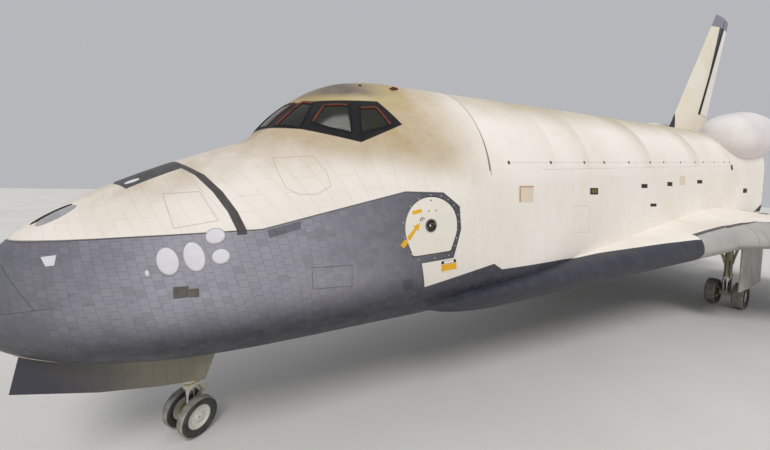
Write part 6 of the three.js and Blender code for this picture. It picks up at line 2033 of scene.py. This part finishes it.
def wheel_pair(word, gear, centre, axle, body, nodes, grooves):
    """Two tyres with grooved treads, their dished wheels with bolts, and the axle between them."""
    half, rim, tyre = gear["width"] / 2, gear["rim"], gear["tyre"]
    for part, k in (("inner", -1), ("outer", 1)):
        wall = [(-half * 0.60, rim + 0.002), (-half * 0.72, rim + 0.014), (-half * 0.98, rim + (tyre - rim) * 0.40),
                (-half, rim + (tyre - rim) * 0.56), (-half * 0.95, rim + (tyre - rim) * 0.74),
                (-half * 0.80, tyre * 0.955)]
        wall += [(-d, r) for d, r in wall[::-1]]
        tread = [(-half * 0.84, tyre * 0.940), (-half * 0.83, tyre * 0.962), (-half * 0.60, tyre * 0.993)]
        for g in np.linspace(-0.42, 0.42, grooves):
            tread += [(half * (g - 0.075), tyre - 0.001), (half * (g - 0.06), tyre - 0.010),
                      (half * (g + 0.06), tyre - 0.010), (half * (g + 0.075), tyre - 0.001)]
        tread += [(-d, r) for d, r in tread[:3][::-1]]
        spot = centre + axle * k * gear["offset"]
        finish_piece(Kit().ring(spot, axle, wall, 112).make(f"{word}_tyre_{part}", finish("sidewall")), body,
                     [nodes[0 if k < 0 else 1]])
        finish_piece(Kit().ring(spot, axle, tread, 112).make(f"{word}_tread_{part}", finish("tyre")), body)
    kit, bolts = Kit(), []
    thin = gear["axle"]
    for k in (-1, 1):
        out = half * 0.62
        face = k * (gear["offset"] + out)
        back = k * (gear["offset"] - out)
        profile = [(back, rim * 0.96), (back, rim), (face, rim), (face + k * 0.006, rim - 0.012),
                   (face - k * 0.004, rim - 0.030), (face - k * 0.045, rim - 0.052), (face - k * 0.060, rim * 0.62),
                   (face - k * 0.040, rim * 0.50), (face - k * 0.034, thin * 2.2), (face - k * 0.008, thin * 1.9),
                   (face + k * 0.004, thin * 1.5), (face + k * 0.004, thin * 0.6), (face - k * 0.03, thin * 0.5),
                   (back + k * 0.04, thin * 0.5), (back + k * 0.03, rim * 0.5), (back + k * 0.02, rim * 0.8)]
        kit.ring(centre, axle, profile if k > 0 else profile[::-1], 96)
        a, u, v = axes_for(axle)
        for turn in np.linspace(0, 2 * math.pi, 9, endpoint=False):
            spoke = math.cos(turn) * u + math.sin(turn) * v
            bolts.append((centre + a * (face - k * 0.0535) + spoke * rim * 0.70, k * a))
            kit.rod(centre + a * (face - k * 0.056) + spoke * rim * 0.44,
                    centre + a * (face - k * 0.052) + spoke * rim * 0.82, 0.016 * rim / SMALL_RIM, sides=8)
    kit.turned(centre, axle, [(-gear["offset"], thin), (gear["offset"], thin)], 40)
    finish_piece(kit.make(f"{word}_wheels", finish("hub")), body, [nodes[2]])
    studs(f"{word}_wheel_bolts", "dark", [b for b, _ in bolts], body, 0.011 * rim / SMALL_RIM, 0.012,
          normals=[n for _, n in bolts], sides=6)


def strut(word, gear, centre, axle, up, radius, length, body, node):
    """Chromed piston, axle block with two lugs, and brake cans; returns the direction across axle and piston."""
    half = gear["offset"] - gear["width"] * 0.33 - 0.04
    thin = gear["axle"]
    kit = Kit().turned(centre, up, [(thin, radius * 0.92), (thin + 0.03, radius), (length - 0.01, radius),
                                    (length, radius * 0.93)], 64)
    finish_piece(kit.make(f"{word}_piston", finish("chrome")), body, [node])
    kit = Kit().rod(centre - axle * half, centre + axle * half, thin * 1.7, sides=40)
    kit.turned(centre, up, [(-thin * 1.9, radius * 0.8), (-thin * 1.2, radius * 1.25), (thin * 1.8, radius * 1.3),
                            (thin * 2.8, radius * 1.12)], 48)
    fore = np.cross(axle, up)
    fore = fore / np.linalg.norm(fore)
    for k in (-1, 1):
        kit.box(centre + axle * k * radius * 0.8 + fore * radius * 1.3 + up * thin,
                (radius * 1.2, radius * 0.4, thin * 1.6), fore, up)
    finish_piece(kit.make(f"{word}_axle_block", finish("gear")), body)
    kit = Kit()
    for k in (-1, 1):
        kit.turned(centre + axle * k * (half - gear["width"] * 0.12), axle * k, [
            (0, gear["rim"] * 0.50), (0.02, gear["rim"] * 0.60), (gear["width"] * 0.16, gear["rim"] * 0.60),
            (gear["width"] * 0.20, gear["rim"] * 0.52)], 48)
    finish_piece(kit.make(f"{word}_brakes", finish("brass")), body)
    return fore


def torque_link(kit, start, end, axle, wide, narrow, thick):
    """Two tapering arms that meet at a pin."""
    for k in (-1, 1):
        kit.rod(start + axle * k * wide, end + axle * k * narrow, thick, thick * 0.8, sides=16)
    kit.rod(start - axle * wide * 1.25, start + axle * wide * 1.25, thick * 1.15, sides=20)
    kit.rod(end - axle * narrow * 1.6, end + axle * narrow * 1.6, thick * 1.1, sides=20)


def door_panel(name, outline, y0, y1, look, side):
    """A gear door as a plain panel between two lateral places, with eased edges."""
    pts = np.asarray(outline, float)
    centre = pts.mean(axis=0)
    rings = []
    for y, f in ((y0, 0.990), (y0 + 0.006, 1.0), (y1 - 0.006, 1.0), (y1, 0.990)):
        flat = centre + (pts - centre) * f
        rings.append(place(flat[:, 0], side * y, flat[:, 1]))
    return Kit().loft(rings).make(name, finish(look))


def pipes(kit, points, radius):
    """Thin pipes from each point to the next."""
    for a, b in zip(points, points[1:]):
        kit.rod(a, b, radius, sides=10)


def nose_at(h, aft=0.0, aside=0.0):
    """The place on the nose strut's axis at height h, moved aft and to starboard."""
    return np.array([NOSE_GEAR["s"], 0.0, NOSE_GEAR["h"]]) + PLUMB * (h - NOSE_GEAR["h"]) / COS_DOWN + np.array(
        [aft, aside, 0])


def build_nose_gear():
    """Nose wheels, strut, torque links, leg and its lines."""
    centre = nose_at(NOSE_GEAR["h"])
    wheel_pair("nose", NOSE_GEAR, centre, NOSE_AXLE, "nose_wheels",
               ["nose_tyre_port", "nose_tyre_starboard", "nose_wheel_hub"], 3)
    fore = strut("nose", NOSE_GEAR, centre, NOSE_AXLE, PLUMB, 0.085, (-0.42 - NOSE_GEAR["h"]) / COS_DOWN,
                 "nose_steering", "nose_gear_strut")
    aft = fore if fore[0] > 0 else -fore
    kit = Kit()
    low, mid, high = nose_at(-1.36) + aft * 0.09, nose_at(-1.10) + aft * 0.27, nose_at(-0.86) + aft * 0.15
    torque_link(kit, low, mid, NOSE_AXLE, 0.075, 0.028, 0.024)
    torque_link(kit, high, mid, NOSE_AXLE, 0.090, 0.028, 0.026)
    kit.turned(nose_at(-0.90), PLUMB, [(0, 0.098), (0.012, 0.118), (0.085, 0.118), (0.098, 0.105)], 56)
    kit.box(nose_at(-0.86) + aft * 0.125, (0.07, 0.20, 0.07), aft, PLUMB)
    kit.ring(mid + aft * 0.075 + PLUMB * 0.02, NOSE_AXLE,
             [(-0.012, 0.045), (-0.012, 0.058), (0.012, 0.058), (0.012, 0.045)], 28)
    kit.rod(mid, mid + aft * 0.03, 0.018)
    finish_piece(kit.make("nose_torque_links", finish("gear")), "nose_steering")

    kit = Kit()
    wall, top_h = NOSE_WELL["half"] - 0.002, 0.78
    brace_s, brace_h = 1.75, 0.90
    kit.turned(nose_at(-0.77), PLUMB, NOSE_LEG_PROFILE, 64)
    top = nose_at(top_h)
    kit.turned((top[0], -wall, top_h), (0, 1, 0),
               [(0, 0.075), (0.04, 0.085), (0.30, 0.085), (0.36, 0.070), (0.76, 0.070), (0.82, 0.085),
                (2 * wall - 0.04, 0.085), (2 * wall, 0.075)], 48)
    for k in (-1, 1):
        kit.rod(nose_at(-0.16, 0, k * 0.05), (brace_s, k * 0.30, brace_h), 0.036, 0.044)
        kit.rod(nose_at(0.20, 0, k * 0.10), (top[0], k * 0.42, top_h), 0.034)
    kit.rod((brace_s, -wall, brace_h), (brace_s, wall, brace_h), 0.060)
    kit.rod(nose_at(-0.16, 0, -0.13), nose_at(-0.16, 0, 0.13), 0.05)
    finish_piece(kit.make("nose_leg", finish("gear")), "airframe", ["nose_gear_leg"])
    kit = Kit()
    for k in (-1, 1):
        pipes(kit, [nose_at(-0.60, -0.02, k * 0.135), nose_at(-0.1, -0.03, k * 0.14), nose_at(0.4, -0.02, k * 0.15),
                    nose_at(0.74, 0.02, k * 0.22)], 0.011)
    finish_piece(kit.make("nose_leg_lines", finish("dark")), "airframe")


def build_well_edges():
    """Seals along both sides of the nose wheel well."""
    kit = Kit()
    for side in BOTH:
        line = side * NOSE_WELL_EDGE
        edge = np.array([(s, line, -0.4) for s in np.linspace(0.62, 3.02, 60)])
        for _ in range(4):
            edge = on_skin(edge)
            edge[:, 1] = line
        kit.bead(on_skin(edge), 0.036, 0.012, closed=False)
    finish_piece(kit.make("nose_well_edges", finish("beige")), "airframe")


def build_nose_door(word, side, ribs):
    """One nose gear door, cut to the skin, with its ribs and hinge arms."""
    door = door_panel(f"nose_door_{word}", NOSE_DOOR, 0.570, 0.610, "nose_door", side)
    carve(door, [skin_solid("nose_room", steps((0.3, 4.0, 60)), 200, 0.002)])
    finish_piece(dressed(door, finish("nose_door")), "airframe", [f"nose_gear_door_{word}"])
    kit = Kit()
    lean = 0.24
    for s in np.linspace(0.95, 3.0, ribs):
        base = -0.02 - lean * (s - 0.95) + 0.10
        kit.box((s, side * 0.562, base + 0.20), (0.035, 0.016, 0.40), (1, 0, -lean), (lean, 0, 1))
    for s in (1.15, 2.05, 2.85):
        kit.rod((s, side * 0.566, 0.42), (s, side * 0.548, 0.66), 0.022, sides=16)
    finish_piece(kit.make(f"nose_door_ribs_{word}", finish("door_inner")), "airframe")


def build_main_gear(word, side):
    """Wheels, strut, leg and lines of one main gear."""
    gear = MAIN_GEAR
    y = side * gear["y"]
    centre = np.array([gear["s"], y, gear["h"]])
    axle, up = np.array([0, side * 1.0, 0]), np.array([0, 0, 1.0])
    wheel_pair(f"main_{word}", gear, centre, axle, f"main_wheels_{word}",
               [f"main_tyre_inner_{word}", f"main_tyre_outer_{word}", f"main_wheel_hub_{word}"], 4)
    strut(f"main_{word}", gear, centre, axle, up, 0.088, -1.25 - gear["h"], "airframe", f"main_gear_strut_{word}")

    def spot(s, h, dy=0.0):
        """A place beside the strut: aft of it, at a height, and outboard of it."""
        return np.array([gear["s"] + s, y + side * dy, h])

    kit = Kit()
    kit.turned(spot(0, -1.65), up, MAIN_LEG_PROFILE, 64)
    inner, outer = MAIN_WELL["y0"] + 0.002 - gear["y"], MAIN_WELL["y1"] - 0.002 - gear["y"]
    kit.rod(spot(0, 0.62, inner), spot(0, 0.62, outer), 0.12, sides=48)
    kit.rod(spot(-1.9, 0.70, inner), spot(-1.9, 0.70, outer), 0.08, sides=32)
    for k in (-1, 1):
        kit.rod(spot(0, -0.95, k * 0.06), spot(-1.9, 0.70, k * 0.42), 0.050, 0.060)
        kit.rod(spot(0.02, -1.30, k * 0.05), spot(0.0, 0.55, k * 0.55 * (0.75 if k > 0 else 1.0)), 0.042, 0.050)
    kit.rod(spot(0, -0.95, -0.17), spot(0, -0.95, 0.17), 0.06, sides=28)
    torque_link(kit, spot(0.16, -1.56), spot(0.44, -1.94), axle, 0.12, 0.04, 0.030)
    torque_link(kit, spot(0.12, -2.30), spot(0.44, -1.94), axle, 0.10, 0.04, 0.028)
    finish_piece(kit.make(f"main_leg_{word}", finish("gear")), "airframe", [f"main_gear_leg_{word}"])
    kit = Kit()
    for k in (-1, 1):
        pipes(kit, [spot(-0.06, -2.28, k * 0.13), spot(-0.12, -1.9, k * 0.13), spot(-0.17, -1.4, k * 0.06),
                    spot(-0.18, 0.3, k * 0.06)], 0.013)
    finish_piece(kit.make(f"main_leg_lines_{word}", finish("dark")), "airframe")


def build_main_door(word, side, ribs):
    """One main gear door, cut clear of the wing, with its ribs."""
    door = door_panel(f"main_door_{word}", MAIN_DOOR, 4.300, 4.350, "main_door", side)
    room = []
    for y in (4.0, WING_KINK["y"], 4.8):
        s = np.linspace(19.7, 25.4, 40)
        up, low = wing_heights(s, y)
        room.append(np.concatenate([place(s, side * y, up + 2.0), place(s, side * y, low - 0.001)[::-1]]))
    carve(door, [Kit().loft(np.array(room)).make("cutter")])
    finish_piece(dressed(door, finish("main_door")), "airframe", [f"main_gear_door_{word}"])
    kit = Kit()
    for s in np.linspace(21.0, 23.95, ribs):
        foot = -1.42 if s < 22.1 else -1.60
        kit.box((s, side * 4.290, (foot - 0.12) / 2), (0.05, 0.020, -foot - 0.16))
    for h in (-0.14, -1.36):
        kit.box((22.47, side * 4.291, h), (3.2, 0.022, 0.05))
    finish_piece(kit.make(f"main_door_ribs_{word}", finish("door_inner")), "airframe")


def build_gear(settings):
    """Nose and main gear: legs, pistons, links, wheels and doors."""
    build_nose_gear()
    build_well_edges()
    for word, side in SIDES:
        build_nose_door(word, side, settings.ribs)
        build_main_gear(word, side)
        build_main_door(word, side, settings.ribs)


def colour_property(name, description, red, green, blue):
    """A colour setting from parts of 255."""
    return FloatVectorProperty(name=name, description=description, default=(red / 255, green / 255, blue / 255), size=3,
                               min=0.0, max=1.0, subtype="COLOR_GAMMA")


class CoatingSettings(bpy.types.PropertyGroup):
    """Colours of the coating"""

    white: colour_property("White", "Coating of the upper body", 243, 236, 227)
    tile: colour_property("Worn tile", "Dark tiles where they are worn pale", 163, 161, 170)
    deep_tile: colour_property("Deep tile", "Dark tiles aft and below", 50, 51, 61)
    dirt: colour_property("Stain", "Staining round the windows", 186, 163, 122)


class NoseSettings(bpy.types.PropertyGroup):
    """Settings of the nose"""

    around: IntProperty(name="Points around", description="Points round each fuselage section", default=288)


class PaneSettings(bpy.types.PropertyGroup):
    """Settings of the cabin glass"""

    depth: FloatProperty(name="Depth", description="Depth of the glass below the skin", default=0.012,
                         unit="LENGTH", subtype="DISTANCE")


class HatchSettings(bpy.types.PropertyGroup):
    """Settings of the side hatch"""

    studs: IntProperty(name="Studs", description="Bolts round the hatch window", default=16)


class BaySettings(bpy.types.PropertyGroup):
    """Settings of the payload bay"""

    frames: IntProperty(name="Frames", description="Frames along the bay", default=13)


class AftSettings(bpy.types.PropertyGroup):
    """Settings of the aft fuselage and its nozzles"""

    around: IntProperty(name="Points around", description="Points round each fuselage section", default=288)
    hoops: IntProperty(name="Hoops", description="Hoops round each main nozzle bell", default=9)
    wall: FloatProperty(name="Wall", description="Wall of the main nozzle bells", default=0.045, unit="LENGTH",
                        subtype="DISTANCE")


class WingSettings(bpy.types.PropertyGroup):
    """Settings of the wings"""

    segments: IntProperty(name="Segments", description="Joints along each swept leading edge", default=16)
    gap: FloatProperty(name="Gap", description="Gap between two leading edge segments", default=0.008,
                       unit="LENGTH", subtype="DISTANCE")


class TailSettings(bpy.types.PropertyGroup):
    """Settings of the tail"""

    edge: FloatProperty(name="Flap edge", description="Rounding of the body flap's side edges", default=0.012,
                        unit="LENGTH", subtype="DISTANCE")


class GearSettings(bpy.types.PropertyGroup):
    """Settings of the landing gear"""

    ribs: IntProperty(name="Ribs", description="Ribs inside each gear door", default=6)


class StageSettings(bpy.types.PropertyGroup):
    """Settings of the floor and the lights"""

    floor: FloatProperty(name="Floor", description="Half width of the floor", default=160.0, unit="LENGTH",
                         subtype="DISTANCE")
    sky: FloatProperty(name="Sky", description="Strength of the sky light", default=0.50)
    key: FloatProperty(name="Key", description="Strength of the key lamp", default=1.55)


class ORBITER_OT_nose(bpy.types.Operator):
    """Build the nose cap, the forward module and the forward fuselage"""

    bl_idname = "orbiter.nose"
    bl_label = "Nose"

    def execute(self, context):
        build_nose(context.scene.orbiter_nose)
        return {"FINISHED"}


class ORBITER_OT_panes(bpy.types.Operator):
    """Build the cabin glass"""

    bl_idname = "orbiter.panes"
    bl_label = "Panes"

    def execute(self, context):
        build_panes(context.scene.orbiter_panes)
        return {"FINISHED"}


class ORBITER_OT_hatch(bpy.types.Operator):
    """Build the side hatch"""

    bl_idname = "orbiter.hatch"
    bl_label = "Hatch"

    def execute(self, context):
        build_hatch(context.scene.orbiter_hatch)
        return {"FINISHED"}


class ORBITER_OT_bay(bpy.types.Operator):
    """Build the mid fuselage and the payload bay doors"""

    bl_idname = "orbiter.bay"
    bl_label = "Bay"

    def execute(self, context):
        build_bay(context.scene.orbiter_bay)
        return {"FINISHED"}


class ORBITER_OT_aft(bpy.types.Operator):
    """Build the aft fuselage, the pods and the nozzles"""

    bl_idname = "orbiter.aft"
    bl_label = "Aft"

    def execute(self, context):
        build_aft(context.scene.orbiter_aft)
        return {"FINISHED"}


class ORBITER_OT_wings(bpy.types.Operator):
    """Build the wings, their leading edges and the elevons"""

    bl_idname = "orbiter.wings"
    bl_label = "Wings"

    def execute(self, context):
        build_wings(context.scene.orbiter_wings)
        return {"FINISHED"}


class ORBITER_OT_tail(bpy.types.Operator):
    """Build the fin, the rudder with its speed brakes, and the body flap"""

    bl_idname = "orbiter.tail"
    bl_label = "Tail"

    def execute(self, context):
        build_tail(context.scene.orbiter_tail)
        return {"FINISHED"}


class ORBITER_OT_gear(bpy.types.Operator):
    """Build the nose and main gear with their doors"""

    bl_idname = "orbiter.gear"
    bl_label = "Gear"

    def execute(self, context):
        build_gear(context.scene.orbiter_gear)
        return {"FINISHED"}


class ORBITER_OT_stage(bpy.types.Operator):
    """Build the floor and the lights"""

    bl_idname = "orbiter.stage"
    bl_label = "Stage"

    def execute(self, context):
        build_stage(context.scene.orbiter_stage)
        return {"FINISHED"}


# The coating's colours come first and have no operator of their own.
SETTINGS = {
    "coating": CoatingSettings,
    "nose": NoseSettings,
    "panes": PaneSettings,
    "hatch": HatchSettings,
    "bay": BaySettings,
    "aft": AftSettings,
    "wings": WingSettings,
    "tail": TailSettings,
    "gear": GearSettings,
    "stage": StageSettings,
}
OPERATORS = [ORBITER_OT_nose, ORBITER_OT_panes, ORBITER_OT_hatch, ORBITER_OT_bay, ORBITER_OT_aft, ORBITER_OT_wings,
             ORBITER_OT_tail, ORBITER_OT_gear, ORBITER_OT_stage]


class ORBITER_PT_build(bpy.types.Panel):
    """Lists the groups of pieces, each with its settings"""

    bl_idname = "ORBITER_PT_build"
    bl_label = "Orbiter"
    bl_space_type = "VIEW_3D"
    bl_region_type = "UI"
    bl_category = "Orbiter"

    def draw(self, context):
        for name, group in SETTINGS.items():
            box = self.layout.box()
            if name != "coating":
                box.operator(f"orbiter.{name}")
            values = getattr(context.scene, f"orbiter_{name}")
            for key in group.__annotations__:
                box.prop(values, key)


def register():
    """Adds the settings, the operators and the panel."""
    for name, group in SETTINGS.items():
        bpy.utils.register_class(group)
        setattr(bpy.types.Scene, f"orbiter_{name}", PointerProperty(type=group))
    for operator in OPERATORS:
        bpy.utils.register_class(operator)
    bpy.utils.register_class(ORBITER_PT_build)


def unregister():
    """Takes them away again, in the other order."""
    bpy.utils.unregister_class(ORBITER_PT_build)
    for operator in reversed(OPERATORS):
        bpy.utils.unregister_class(operator)
    for name, group in reversed(SETTINGS.items()):
        delattr(bpy.types.Scene, f"orbiter_{name}")
        bpy.utils.unregister_class(group)


def main():
    """Builds the scene, one operator after the other."""
    register()
    add_camera()
    for name in list(SETTINGS)[1:]:
        getattr(bpy.ops.orbiter, name)()
    paint_carried_nodes()


if __name__ == "__main__":
    main()
